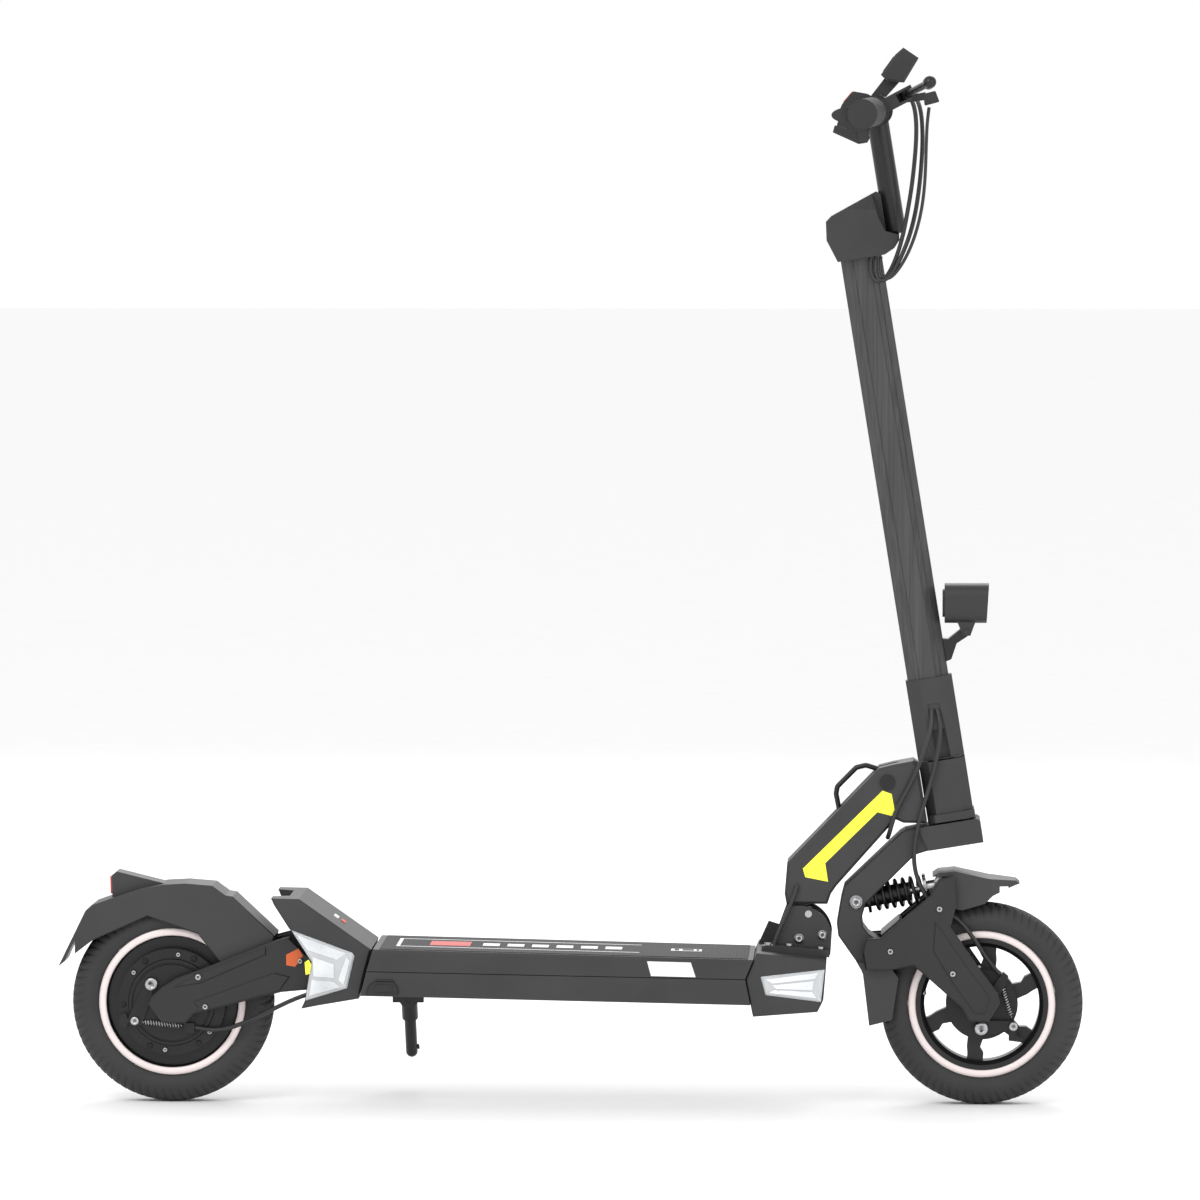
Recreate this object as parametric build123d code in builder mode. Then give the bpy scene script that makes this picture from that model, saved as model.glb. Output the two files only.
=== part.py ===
"""Electric kick scooter: suspended front and rear wheels, folding neck, hub motor.

X points forward, Y to the rider's left, Z up. The origin is on the ground, in the middle
of the scooter's length and width. Every length is in millimetres, every angle in degrees.
"""
from build123d import *
import math
import os

os.makedirs("parts", exist_ok=True)

# ---------------------------------------------------------------- driving dimensions
TYRE_R = 115.0            # a nine inch pneumatic tyre
TYRE_HALF = 27.5          # half the tyre's section width
TYRE_CROWN = 10.0         # half the flat of the crown that meets the ground
BEAD_R = 84.2             # where the tyre sits on the rim
RIM_R = 84.0
RIM_HALF = 20.0
AXLE_Z = TYRE_R
FRONT_X = 469.5           # front axle
REAR_X = -454.5           # rear axle
AXLE_R = 6.0
RUN_FIT = 0.06            # radial clearance of a turning pin or shaft

DECK_HALF = 90.0          # half the deck's width
DECK_WALL = 5.0
HOUSING_HALF = 76.0       # half the width of the kick plate housing
BOX_HALF = 86.0           # half the width of the front box

FOLD = (261.3, 190.8)     # fold bolt, side view
FOLD_ARC_R = 37.5         # radius of the hinge plates about the fold bolt
LOCK_PIN = (272.0, 218.9)
CLEVIS_HALF = 35.0        # outside of the hinge plates
TONGUE_HALF = 26.6        # the neck's tongue between the hinge plates
NECK_HALF = 34.0
LATCH_PIVOT = (361.6, 369.0)

STEER_POINT = (407.6, 486.0)   # a point of the steering axis, at the stem's foot
STEER_ANGLE = 9.15             # how far the steering axis leans back
CROWN_TOP = -165.0             # along the steering axis from that point
CROWN_FOOT = -192.5
HEAD_FOOT = -163.0
HEAD_TOP = -93.5
SLEEVE_FOOT = -92.0
SLEEVE_TOP = 1.0
STEM_TOP = 484.0
STEM_FLATS = 47.0              # across the flats of the octagonal stem
POST_OFFSET = 43.0             # the bar post stands this far forward of the steering axis

FRONT_PIVOT = (344.9, 170.5)   # front swing arm pivot
SHOCK_FRAME = (326.4, 232.1)   # shock bolt on the front frame
SHOCK_ARM = (424.0, 249.0)     # shock bolt on the front swing arm
REAR_PIVOT = (-274.0, 150.0)   # rear swing arm pivot
ARM_IN = 36.5                  # inner face of a swing arm plate
ARM_OUT = 44.0                 # outer face of the plate, where its cover starts
COVER_OUT = 50.5
FENDER_HALF = 36.0

BAR_CENTRE = (349.3, 1131.1)   # middle of the handlebar, side view
BAR_HALF = 300.0
BAR_SWEEP = (-16.0, -3.5)      # how far back and down the bar's ends are
BAR_R = 11.0
GRIP_R = 16.5

CABLE_R = 2.5                  # brake cable housing


# ---------------------------------------------------------------- helpers
def lean(d, s):
    """Side view point d forward of the steering axis and s along it from its foot."""
    t = math.radians(STEER_ANGLE)
    x = STEER_POINT[0] + d * math.cos(t) - s * math.sin(t)
    z = STEER_POINT[1] + d * math.sin(t) + s * math.cos(t)
    return (x, z)


def steer_plane(s):
    """The plane square to the steering axis at s, with its X forward and its Y along Y."""
    t = math.radians(STEER_ANGLE)
    x, z = lean(0, s)
    return Plane(origin=(x, 0, z), x_dir=(math.cos(t), 0, math.sin(t)),
                 z_dir=(-math.sin(t), 0, math.cos(t)))


def side_face(points, y=0.0, radius=0.0):
    """A closed side outline (X, Z) on the plane at this Y, corners rounded if asked."""
    with BuildSketch(Plane.XZ.offset(-y)) as face:
        with BuildLine():
            Polyline(*points, close=True)
        make_face()
        if radius:
            fillet(face.vertices(), radius)
    return face.sketch


def slab(points, y_low, y_high, radius=0.0):
    """A plate between two Y values, cut to a side outline."""
    with BuildPart() as plate:
        extrude(side_face(points, y_high, radius), amount=y_high - y_low)
    return plate.part


def cover(points, y_in, y_out, bevel, radius=0.0):
    """A cover on the right side, from |Y| = y_in out to y_out, its outer edges bevelled."""
    with BuildPart() as shell:
        extrude(side_face(points, -y_in, radius), amount=y_out - y_in)
        chamfer(shell.faces().sort_by(Axis.Y)[0].edges(), bevel)
    return shell.part


def bar(x, z, radius, y_low, y_high):
    """A round bar along Y."""
    with BuildPart() as rod:
        with BuildSketch(Plane.XZ.offset(-y_high)):
            with Locations((x, z)):
                Circle(radius)
        extrude(amount=y_high - y_low)
    return rod.part


def turned(profile, x, z=AXLE_Z):
    """A body turned about the line along Y through (x, z), from its (radius, y) section."""
    with BuildPart() as ring:
        with BuildSketch(Plane(origin=(x, 0, z))):
            with BuildLine():
                Polyline(*profile, close=True)
            make_face()
        revolve(axis=Axis((x, 0, z), (0, 1, 0)))
    return ring.part


def washer(x, z, r_in, r_out, y_low, y_high):
    """A flat ring about a line along Y."""
    return turned([(r_in, y_low), (r_out, y_low), (r_out, y_high), (r_in, y_high)], x, z)


def screw(x, z, radius, y_face, height):
    """A domed screw head that stands out of the right side, with a hexagon socket."""
    with BuildPart() as head:
        with BuildSketch(Plane.XZ.offset(-y_face)):
            with Locations((x, z)):
                Circle(radius)
        extrude(amount=height)
        chamfer(head.faces().sort_by(Axis.Y)[0].edges(), height * 0.4)
        with BuildSketch(Plane.XZ.offset(-y_face + height)):
            with Locations((x, z)):
                RegularPolygon(radius * 0.45, 6)
        extrude(amount=-height * 0.5, mode=Mode.SUBTRACT)
    return head.part


def toward(a, b, distance):
    """The point at this distance from a, on the way to b."""
    length = math.dist(a, b)
    return (a[0] + (b[0] - a[0]) * distance / length,
            a[1] + (b[1] - a[1]) * distance / length)


def around(centre, radius, angle):
    """The side view point at this radius and angle about a centre."""
    turn = math.radians(angle)
    return (centre[0] + radius * math.cos(turn), centre[1] + radius * math.sin(turn))


def along(a, b, y=0.0):
    """The plane at a (side view), square to the line from a to b."""
    return Plane(origin=(a[0], y, a[1]), x_dir=(0, 1, 0), z_dir=(b[0] - a[0], 0, b[1] - a[1]))


def save(piece, name):
    """Label a finished piece and write its STEP file."""
    piece.part.label = name
    export_step(piece.part, f"parts/{name}.step")


# ---------------------------------------------------------------- tyres
def tyre(x):
    """A road tyre with a flat crown, round shoulders and straight beads."""
    with BuildPart() as ring:
        with BuildSketch(Plane(origin=(x, 0, AXLE_Z))):
            with BuildLine():
                Line((TYRE_R, -TYRE_CROWN), (TYRE_R, TYRE_CROWN))
                ThreePointArc((TYRE_R, TYRE_CROWN), (109.5, 21.5), (98.5, TYRE_HALF))
                ThreePointArc((98.5, TYRE_HALF), (90.0, 25.5), (BEAD_R, 19.5))
                Line((BEAD_R, 19.5), (BEAD_R, -19.5))
                ThreePointArc((BEAD_R, -19.5), (90.0, -25.5), (98.5, -TYRE_HALF))
                ThreePointArc((98.5, -TYRE_HALF), (109.5, -21.5), (TYRE_R, -TYRE_CROWN))
            make_face()
        revolve(axis=Axis((x, 0, AXLE_Z), (0, 1, 0)))
    return ring


front_tyre = tyre(FRONT_X)
save(front_tyre, "front_tyre")
rear_tyre = tyre(REAR_X)
save(rear_tyre, "rear_tyre")

# ---------------------------------------------------------------- front wheel
SPOKE = [(38, -9), (38, 9), (50, 7), (56, 12), (68, 13), (68, -5), (60, -6), (52, -8)]
RIM_FLANGE = 75.5         # the bright flange reaches from here to the tyre
with BuildPart() as front_rim:
    add(turned([(65.5, -13), (65.5, 13), (70, 19), (RIM_FLANGE, RIM_HALF), (84, RIM_HALF),
                (84, 16), (72, 12), (72, -12), (84, -16), (84, -RIM_HALF),
                (RIM_FLANGE, -RIM_HALF), (70, -19)], FRONT_X))
    add(turned([(14, 22), (22, 22), (24, 12), (41, 12), (41, -14), (36, -14), (36, 0),
                (14, 0)], FRONT_X))
    with BuildSketch(Plane(origin=(FRONT_X, 8, AXLE_Z), x_dir=(1, 0, 0), z_dir=(0, -1, 0))):
        with PolarLocations(0, 6, start_angle=20):
            Polygon(*SPOKE, align=None)
    extrude(amount=16)
    # the brake's cavity stays open where the spokes' roots reach into it
    add(washer(FRONT_X, AXLE_Z, 0.5, 36, -14, 0), mode=Mode.SUBTRACT)
save(front_rim, "front_rim")

with BuildPart() as front_bearings:
    for low in (1, 13):
        add(washer(FRONT_X, AXLE_Z, AXLE_R + RUN_FIT, 13.97, low, low + 8))
save(front_bearings, "front_bearings")

with BuildPart() as front_axle:
    add(bar(FRONT_X, AXLE_Z, AXLE_R, -ARM_OUT + 0.1, ARM_OUT - 0.1))
    add(bar(FRONT_X, AXLE_Z, 9.5, 21.4, ARM_IN - 0.05))
    add(bar(FRONT_X, AXLE_Z, 9.5, -ARM_IN + 0.05, -19.1))
save(front_axle, "front_axle")

# ---------------------------------------------------------------- rear wheel and hub motor
SLOT_MID_R = 67.2
SLOT_HALF_ANGLE = 14.7
SHELL_R = 61.5
with BuildPart() as rear_rim:
    add(turned([(73.5, -12), (73.5, 12), (RIM_FLANGE, RIM_HALF), (84, RIM_HALF), (84, 16),
                (79, 11), (79, -11), (84, -16), (84, -RIM_HALF), (RIM_FLANGE, -RIM_HALF)],
               REAR_X))
    add(washer(REAR_X, AXLE_Z, 47, SHELL_R, -25, 25))
    add(washer(REAR_X, AXLE_Z, 60, 74.5, -11, 11))
    with BuildSketch(Plane(origin=(REAR_X, 15, AXLE_Z), x_dir=(1, 0, 0), z_dir=(0, -1, 0))):
        for middle in range(30, 360, 60):
            slot_arc = CenterArc((0, 0), SLOT_MID_R, middle - SLOT_HALF_ANGLE,
                                 2 * SLOT_HALF_ANGLE)
            SlotArc(slot_arc, 10.2)
    extrude(amount=30, mode=Mode.SUBTRACT)
save(rear_rim, "rear_rim")

with BuildPart() as motor_covers:
    add(turned([(14, -9), (14, -13), (40.5, -13), (40.5, -28), (46, -28), (46, -30.3),
                (49, -30.3), (50, -28), (61, -28), (61, -25.05), (44.5, -25.05),
                (44.5, -9)], REAR_X))
    add(turned([(14, 24.5), (14, 29), (20, 29), (22, 28), (46, 28), (46, 30.3), (49, 30.3),
                (50, 28), (61, 28), (61, 25.05), (30, 25.05), (30, 24.5)], REAR_X))
    cover_bolt = screw(REAR_X + 56, AXLE_Z, 3.4, -27.9, 2.6)
    for bolt_angle in range(3, 360, 60):
        add(cover_bolt.rotate(Axis((REAR_X, 0, AXLE_Z), (0, -1, 0)), bolt_angle))
save(motor_covers, "motor_covers")

with BuildPart() as motor_stator:
    with BuildSketch(Plane(origin=(REAR_X, 20, AXLE_Z), x_dir=(1, 0, 0), z_dir=(0, -1, 0))):
        Circle(44)
        with PolarLocations(36, 18):
            Rectangle(18, 4, mode=Mode.SUBTRACT)
        Circle(12.05, mode=Mode.SUBTRACT)
    extrude(amount=25)
    # the copper windings bulge over both faces
    add(washer(REAR_X, AXLE_Z, 27, 42, 19.9, 23.6))
    add(washer(REAR_X, AXLE_Z, 27, 40, -8, -4.9))
save(motor_stator, "motor_stator")

with BuildPart() as rear_axle:
    add(bar(REAR_X, AXLE_Z, AXLE_R, -ARM_OUT + 0.1, ARM_OUT - 0.1))
    add(bar(REAR_X, AXLE_Z, 12, -7, 22))
    add(bar(REAR_X, AXLE_Z, 9.5, 29.6, ARM_IN - 0.05))
    add(bar(REAR_X, AXLE_Z, 9.5, -ARM_IN + 0.05, -32.1))
save(rear_axle, "rear_axle")

with BuildPart() as rear_bearings:
    add(washer(REAR_X, AXLE_Z, AXLE_R + RUN_FIT, 13.97, -13, -9))
    add(washer(REAR_X, AXLE_Z, AXLE_R + RUN_FIT, 13.97, 24.5, 29))
save(rear_bearings, "rear_bearings")

# ---------------------------------------------------------------- deck
DECK_REAR = (-221.2, 181.7)      # top rear corner
DECK_FRONT = (210.0, 171.1)      # top front corner
SEAM_REAR = (-228.6, 157.0)
SEAM_FRONT = (200.9, 149.3)
TRAY_REAR = (-235.5, 129.0)
TRAY_FRONT = (206.8, 119.8)
with BuildPart() as deck_cover:
    add(slab([DECK_REAR, DECK_FRONT, SEAM_FRONT, SEAM_REAR], -DECK_HALF, DECK_HALF))
    top_edges = deck_cover.faces().sort_by(Axis.Z)[-1].edges().filter_by(
        lambda e: abs(e.tangent_at(0.5).X) > 0.9)
    chamfer(top_edges, 3)
    inner = DECK_HALF - DECK_WALL
    add(slab([(-216, 175.5), (198, 165.3), (194, 140), (-222, 140)], -inner, inner),
        mode=Mode.SUBTRACT)
save(deck_cover, "deck_cover")

with BuildPart() as deck_tray:
    add(slab([(SEAM_REAR[0], SEAM_REAR[1] - 0.8), (SEAM_FRONT[0], SEAM_FRONT[1] - 0.8),
              TRAY_FRONT, TRAY_REAR], -DECK_HALF, DECK_HALF))
    add(slab([(-222, 170), (194, 165), (196, 125), (-226, 133.8)], -inner, inner),
        mode=Mode.SUBTRACT)
    # the charge port opens through the right wall
    with BuildSketch(Plane.XZ.offset(DECK_HALF + 1)):
        with Locations((-209, 139.3)):
            RectangleRounded(18, 9, 3)
    extrude(amount=-12, mode=Mode.SUBTRACT)
save(deck_tray, "deck_tray")

with BuildPart() as grip_mat:
    add(slab([(-214, 182.2), (204, 172.05), (204, 171.35), (-214, 181.55)], -82, 82))
save(grip_mat, "grip_mat")

with BuildPart() as battery_pack:
    add(slab([(-190, 135), (85, 131), (85, 162), (-190, 165)], -76, 76))
    fillet(battery_pack.edges().filter_by(Axis.Y), 4)
save(battery_pack, "battery_pack")

with BuildPart() as controller:
    add(slab([(102, 131), (186, 130), (186, 156), (102, 157)], -55, 55))
    with BuildSketch(Plane.XY.offset(175)):
        with GridLocations(0, 10, 1, 10):
            with Locations((144, 0)):
                Rectangle(90, 3)
    extrude(amount=-24, mode=Mode.SUBTRACT)
save(controller, "controller")

# ---------------------------------------------------------------- kick plate housing
HOUSING = [(-337.7, 238.2), (-305.7, 237.6), (-223.9, 180.3), (-230.8, 155.9),
           (-238.0, 124.3), (-284.1, 116.4), (-303.6, 112.6), (-299.8, 120.7),
           (-292.2, 165.6), (-315.5, 201.4), (-333.9, 230.0)]
WALL_IN = 62.0            # inner face of the housing's side walls
LENS_SEAT = 71.0          # the signal lenses sit in pockets this far out
with BuildPart() as rear_housing:
    add(slab(HOUSING, -HOUSING_HALF, HOUSING_HALF))
    for side in (0, -1):
        chamfer(rear_housing.faces().sort_by(Axis.Y)[side].edges(), 2)
    add(slab([(-350, 229.5), (-309, 229.5), (-240, 180.5), (-244.5, 156), (-249, 129),
              (-312, 117.5), (-350, 117.5)], -WALL_IN, WALL_IN), mode=Mode.SUBTRACT)
    # the plate's rear edge is notched between two horns
    with BuildSketch(Plane.XY.offset(250)):
        Polygon((-345, -48), (-345, 48), (-319, 34), (-319, -34), align=None)
    extrude(amount=-30, mode=Mode.SUBTRACT)
    lens_pocket = [(-325, 206.4), (-245, 176.9), (-242.5, 173.1), (-251, 136.3),
                   (-310, 118.6)]
    add(slab(lens_pocket, LENS_SEAT, HOUSING_HALF + 1), mode=Mode.SUBTRACT)
    add(slab(lens_pocket, -HOUSING_HALF - 1, -LENS_SEAT), mode=Mode.SUBTRACT)
    add(bar(*REAR_PIVOT, AXLE_R + 0.02, -74, 74), mode=Mode.SUBTRACT)
save(rear_housing, "rear_housing")

REAR_LENS = [(-314.2, 202.2), (-245.2, 176.8), (-242.7, 173.1), (-251.1, 136.5),
             (-298.6, 122.2), (-291.4, 166.6)]
FRONT_LENS = [(218.6, 152.0), (291.0, 160.3), (286.8, 123.4), (224.2, 131.2)]
BOX_SEAT = 81.0
with BuildPart() as signal_lenses:
    add(cover(REAR_LENS, LENS_SEAT + 0.1, 79, 2))
    add(cover(FRONT_LENS, BOX_SEAT + 0.1, 88.5, 2))
    mirror(about=Plane.XZ)
save(signal_lenses, "signal_lenses")

# ---------------------------------------------------------------- front box and hinge plates
BOX = [(213.9, 178.5), (201.3, 148.5), (207.3, 118.6), (209.8, 106.3), (282.8, 111.9),
       (289.5, 125.0), (293.1, 170.6)]
with BuildPart() as front_box:
    add(slab(BOX, -BOX_HALF, BOX_HALF))
    for side in (0, -1):
        chamfer(front_box.faces().sort_by(Axis.Y)[side].edges(), 1.5)
    add(slab([(190, 160), (224, 160), (281, 156), (276, 121), (218, 115), (190, 118)],
             -72, 72), mode=Mode.SUBTRACT)
    box_pocket = [(218.5, 152.1), (300, 161.5), (300, 121.5), (224.1, 131.1)]
    add(slab(box_pocket, BOX_SEAT, BOX_HALF + 1), mode=Mode.SUBTRACT)
    add(slab(box_pocket, -BOX_HALF - 1, -BOX_SEAT), mode=Mode.SUBTRACT)
save(front_box, "front_box")

with BuildPart() as hinge_plates:
    with BuildSketch(Plane.XZ.offset(CLEVIS_HALF)):
        with BuildLine():
            arc_start = around(FOLD, FOLD_ARC_R, 113)
            arc_end = around(FOLD, FOLD_ARC_R, 8)
            Polyline(arc_end, (297.0, 172.0), (229.5, 178.5), arc_start)
            RadiusArc(arc_start, arc_end, FOLD_ARC_R)
        make_face()
        with Locations(FOLD, LOCK_PIN, (287.9, 194.9)):
            Circle(4.02, mode=Mode.SUBTRACT)
    extrude(amount=-(CLEVIS_HALF - TONGUE_HALF - 0.4))
    # the foot flange that is bolted to the box
    add(slab([(219, 183.2), (219, 178.05), (296, 170.35), (296.5, 178.5), (240, 184)],
             -47, -TONGUE_HALF - 0.4))
    add(slab([(180, 181.9), (213.9, 178.55), (293.1, 170.65), (330, 166.97), (330, 150),
              (180, 150)], -60, 0), mode=Mode.SUBTRACT)
    mirror(about=Plane.XZ)
    # a catch bracket behind the left plate
    add(slab([(214.2, 178.6), (225.7, 204.5), (240, 200), (236, 177)], 35, 38.5))
save(hinge_plates, "hinge_plates")

with BuildPart() as frame_bolts:
    # fold bolt and its stop bolt, through both hinge plates
    add(bar(*FOLD, 4, -CLEVIS_HALF - 1, CLEVIS_HALF + 1))
    add(bar(*LOCK_PIN, 4, -CLEVIS_HALF - 1, CLEVIS_HALF + 1))
    add(screw(*FOLD, 5.6, -CLEVIS_HALF - 0.05, 3.2))
    add(screw(287.9, 194.9, 5.6, -CLEVIS_HALF - 0.05, 3.2))
    # flange bolts on the box
    for bolt_x, bolt_z in ((226, 183.95), (250, 183.45), (286, 179.95)):
        with BuildSketch(Plane(origin=(bolt_x, -42.5, bolt_z), z_dir=(0.097, 0, 1))):
            Circle(3.8)
        extrude(amount=2.5)
    mirror(about=Plane.XZ)
    # rear swing arm pivot, across the kick plate housing
    add(bar(*REAR_PIVOT, AXLE_R, -70.9, 70.9))
save(frame_bolts, "frame_bolts")

# ---------------------------------------------------------------- charge port cap, right side
CAP = [(-225.7, 140.8), (-219.2, 145.7), (-197.6, 145.7), (-192.2, 138.6), (-192.2, 131),
       (-229, 131)]
with BuildPart() as charge_cap:
    add(cover(CAP, DECK_HALF + 0.35, DECK_HALF + 3, 0.9))
    # its hinge is a rolled upper edge
    with BuildSketch(Plane.YZ.offset(-218)):
        with Locations((-91.5, 146.5)):
            Circle(1.1)
    extrude(amount=20)
    with BuildSketch(Plane.XZ.offset(DECK_HALF + 2.9)):
        with Locations((-209, 138)):
            RectangleRounded(20, 8, 2)
    extrude(amount=1.2)
save(charge_cap, "charge_cap")

# ---------------------------------------------------------------- kickstand, left side
STAND_TOP = (-190.2, 97.0, 109.0)
STAND_TIP = (-189.2, 133.0, 42.5)
STAND_BARREL_R = 9.3
STAND_LEG_R = 6.8
with BuildPart() as kickstand_bracket:
    with BuildSketch(Plane.XY.offset(127.2)):
        with Locations((-190.2, 78.8)):
            RectangleRounded(36, 13.6, 3)
    extrude(amount=-22)
    with BuildSketch(Plane.XZ.offset(-72)):
        with Locations((-190.2, 109)):
            Circle(9.5)
    extrude(amount=-13.5)
    add(slab([(-240, 128.95), (-140, 126.85), (-140, 160), (-240, 160)], 60, 95),
        mode=Mode.SUBTRACT)
    add(bar(STAND_TOP[0], STAND_TOP[2], 4.06, 60, 110), mode=Mode.SUBTRACT)
save(kickstand_bracket, "kickstand_bracket")

with BuildPart() as kickstand:
    stand_line = Vector(*STAND_TIP) - Vector(*STAND_TOP)
    stand_dir = stand_line.normalized()
    # the pivot barrel turns on a pin in the bracket
    add(bar(STAND_TOP[0], STAND_TOP[2], 4, 73, 90))
    add(bar(STAND_TOP[0], STAND_TOP[2], 11.5, 86.2, 102))
    with BuildSketch(Plane(origin=STAND_TOP, z_dir=stand_dir)):
        Circle(STAND_BARREL_R)
    extrude(amount=28)
    with BuildSketch(Plane(origin=STAND_TOP, z_dir=stand_dir)):
        Circle(STAND_LEG_R)
    extrude(amount=stand_line.length)
    with Locations(STAND_TIP):
        Sphere(STAND_LEG_R)
    # a toe peg, to flick the stand out with a foot
    with BuildSketch(Plane(origin=(-189.2, 131, 47), z_dir=(1, 0, 0.15))):
        Circle(3)
    extrude(amount=9)
save(kickstand, "kickstand")

# ---------------------------------------------------------------- neck
NECK = [(244.8, 241.8), (247.7, 276.7), (352.2, 385.0), (367.3, 388.8), (390.8, 393.2),
        (396.0, 389.7), (406.6, 322.3), (380.0, 322.8), (371.0, 326.6), (304.2, 251.2),
        (297.6, 241.8), (293.5, 230.0), (247.0, 230.0)]
with BuildPart() as neck:
    add(slab(NECK, -NECK_HALF, NECK_HALF))
    for side in (0, -1):
        chamfer(neck.faces().sort_by(Axis.Y)[side].edges(), 3)
    # the tongue between the hinge plates, clear of the stop bolt
    add(slab([(248, 193), (247.7, 240), (290, 240), (282, 233), (266.2, 226), (266.2, 212),
              (272.5, 197)], -TONGUE_HALF, TONGUE_HALF))
    add(bar(*FOLD, 13.3, -TONGUE_HALF, TONGUE_HALF))
    add(bar(*FOLD, 4 + RUN_FIT, -60, 60), mode=Mode.SUBTRACT)
    # a slot for the latch loop's blade
    add(slab([(286, 330), (312, 306), (374, 356), (374, 400), (340, 400)], -7, 7),
        mode=Mode.SUBTRACT)
    add(bar(*LATCH_PIVOT, 4, -60, 60), mode=Mode.SUBTRACT)
    # room for the head block
    add(slab([lean(-26.1, -60), lean(-26.1, -200), lean(20, -200), lean(20, -60)], -60, 60),
        mode=Mode.SUBTRACT)
save(neck, "neck")

with BuildPart() as latch_pin:
    add(bar(*LATCH_PIVOT, 3.98, -NECK_HALF - 0.5, NECK_HALF + 0.5))
    for low in (-NECK_HALF - 2.6, NECK_HALF + 0.05):
        with BuildSketch(Plane.XZ.offset(-low)):
            with Locations(LATCH_PIVOT):
                Circle(8.6)
        extrude(amount=-2.55)
save(latch_pin, "latch_pin")

LOOP = [(356.5, 380.0), (337, 386.2), (326, 383.5), (304.4, 361.6), (303.0, 353.5),
        (307.0, 333.0), (314, 327)]
LOOP_R = 2.9
with BuildPart() as latch_loop:
    with BuildLine() as loop_path:
        FilletPolyline(*[(x, 0, z) for x, z in LOOP], radius=[9, 6, 6, 6, 4])
    with BuildSketch(Plane(origin=loop_path.line @ 0, z_dir=loop_path.line % 0)):
        Circle(LOOP_R)
    sweep()
    # the blade inside the neck joins both ends to the hub on the latch pin
    add(slab([(352, 380), (361, 382), (371, 371), (369, 361), (318, 321), (309, 331),
              (350, 366)], -3.5, 3.5))
    add(bar(*LATCH_PIVOT, 9, -6.5, 6.5))
    add(bar(*LATCH_PIVOT, 3.98 + RUN_FIT, -60, 60), mode=Mode.SUBTRACT)
save(latch_loop, "latch_loop")

with BuildPart() as head_block:
    with BuildSketch(steer_plane(HEAD_FOOT)) as head_section:
        with Locations((0.7, 0)):
            Rectangle(53, 60)
        chamfer(head_section.vertices(), 11)
    extrude(amount=HEAD_TOP - HEAD_FOOT)
    with BuildSketch(steer_plane(HEAD_FOOT)) as foot_section:
        with Locations((1.5, 0)):
            Rectangle(54, 66)
        chamfer(foot_section.vertices(), 8)
    extrude(amount=9)
    with BuildSketch(steer_plane(HEAD_FOOT)):
        Circle(17.5)
    extrude(amount=80, mode=Mode.SUBTRACT)
    for low in (HEAD_FOOT, HEAD_TOP - 10):
        with BuildSketch(steer_plane(low)):
            Circle(23.98)
        extrude(amount=10, mode=Mode.SUBTRACT)
save(head_block, "head_block")

with BuildPart() as head_bearings:
    for low in (HEAD_FOOT + 0.1, HEAD_TOP - 9.9):
        with BuildSketch(steer_plane(low)):
            Circle(23.96)
            Circle(15 + RUN_FIT, mode=Mode.SUBTRACT)
        extrude(amount=9.7)
save(head_bearings, "head_bearings")

# ---------------------------------------------------------------- front frame and stem
FRAME = [lean(-40, CROWN_TOP), lean(30, CROWN_TOP), lean(33, CROWN_TOP - 3),
         lean(33, CROWN_FOOT), lean(-30, CROWN_FOOT), lean(-44, CROWN_FOOT - 2),
         (388.0, 281.1), (348.4, 241.6), (337.1, 230.3), (332.4, 213.3), (334.3, 203.9),
         (340.0, 196.3), (353.0, 187.0), (359.0, 172.0), (352.0, 158.0), (338.0, 152.0),
         (331.0, 156.0), (325.8, 165.3), (306.0, 193.5), (304.2, 207.6), (308.9, 235.9),
         (312.6, 250.0), (376.7, 311.3), (382.3, 314.4)]
FRAME_HALF = 31.0
CROWN_HALF = 36.0
with BuildPart() as front_frame:
    add(slab(FRAME, -FRAME_HALF, FRAME_HALF))
    for side in (0, -1):
        chamfer(front_frame.faces().sort_by(Axis.Y)[side].edges(), 1.5)
    add(slab([lean(-38, CROWN_TOP), lean(30, CROWN_TOP), lean(33, CROWN_TOP - 3),
              lean(33, CROWN_FOOT), lean(-30, CROWN_FOOT)], -CROWN_HALF, CROWN_HALF))
    # the steerer tube is clamped in the crown
    with BuildSketch(steer_plane(CROWN_FOOT - 10)):
        Circle(15)
    extrude(amount=40, mode=Mode.SUBTRACT)
    # the shock's eye swings in a fork, and the arm's hub turns on the pivot bolt
    add(slab([(312, 222), (322, 212), (352, 206), (372, 262), (345, 262), (318, 246)],
             -12, 12), mode=Mode.SUBTRACT)
    # and the spine is hollowed where the spring swings up
    add(slab([(330.0, 253.3), (339.4, 215.0), (420, 229), (420, 283)], -18.3, 18.3),
        mode=Mode.SUBTRACT)
    add(bar(*SHOCK_FRAME, 4.02, -60, 60), mode=Mode.SUBTRACT)
    add(bar(*FRONT_PIVOT, AXLE_R + 0.02, -60, 60), mode=Mode.SUBTRACT)
save(front_frame, "front_frame")

with BuildPart() as suspension_bolts:
    add(bar(*FRONT_PIVOT, AXLE_R, -ARM_OUT + 0.4, ARM_OUT - 0.4))
    add(bar(*SHOCK_FRAME, 4, -FRAME_HALF - 1, FRAME_HALF + 1))
    add(screw(*SHOCK_FRAME, 8, -FRAME_HALF - 0.05, 3.5))
    add(screw(*SHOCK_FRAME, 8, -FRAME_HALF - 0.05, 3.5).mirror(Plane.XZ))
save(suspension_bolts, "suspension_bolts")


def octagon(flats):
    """A regular octagon with two flats square to X, to be drawn inside a sketch."""
    return RegularPolygon(flats / 2, 8, major_radius=False, rotation=22.5)


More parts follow.
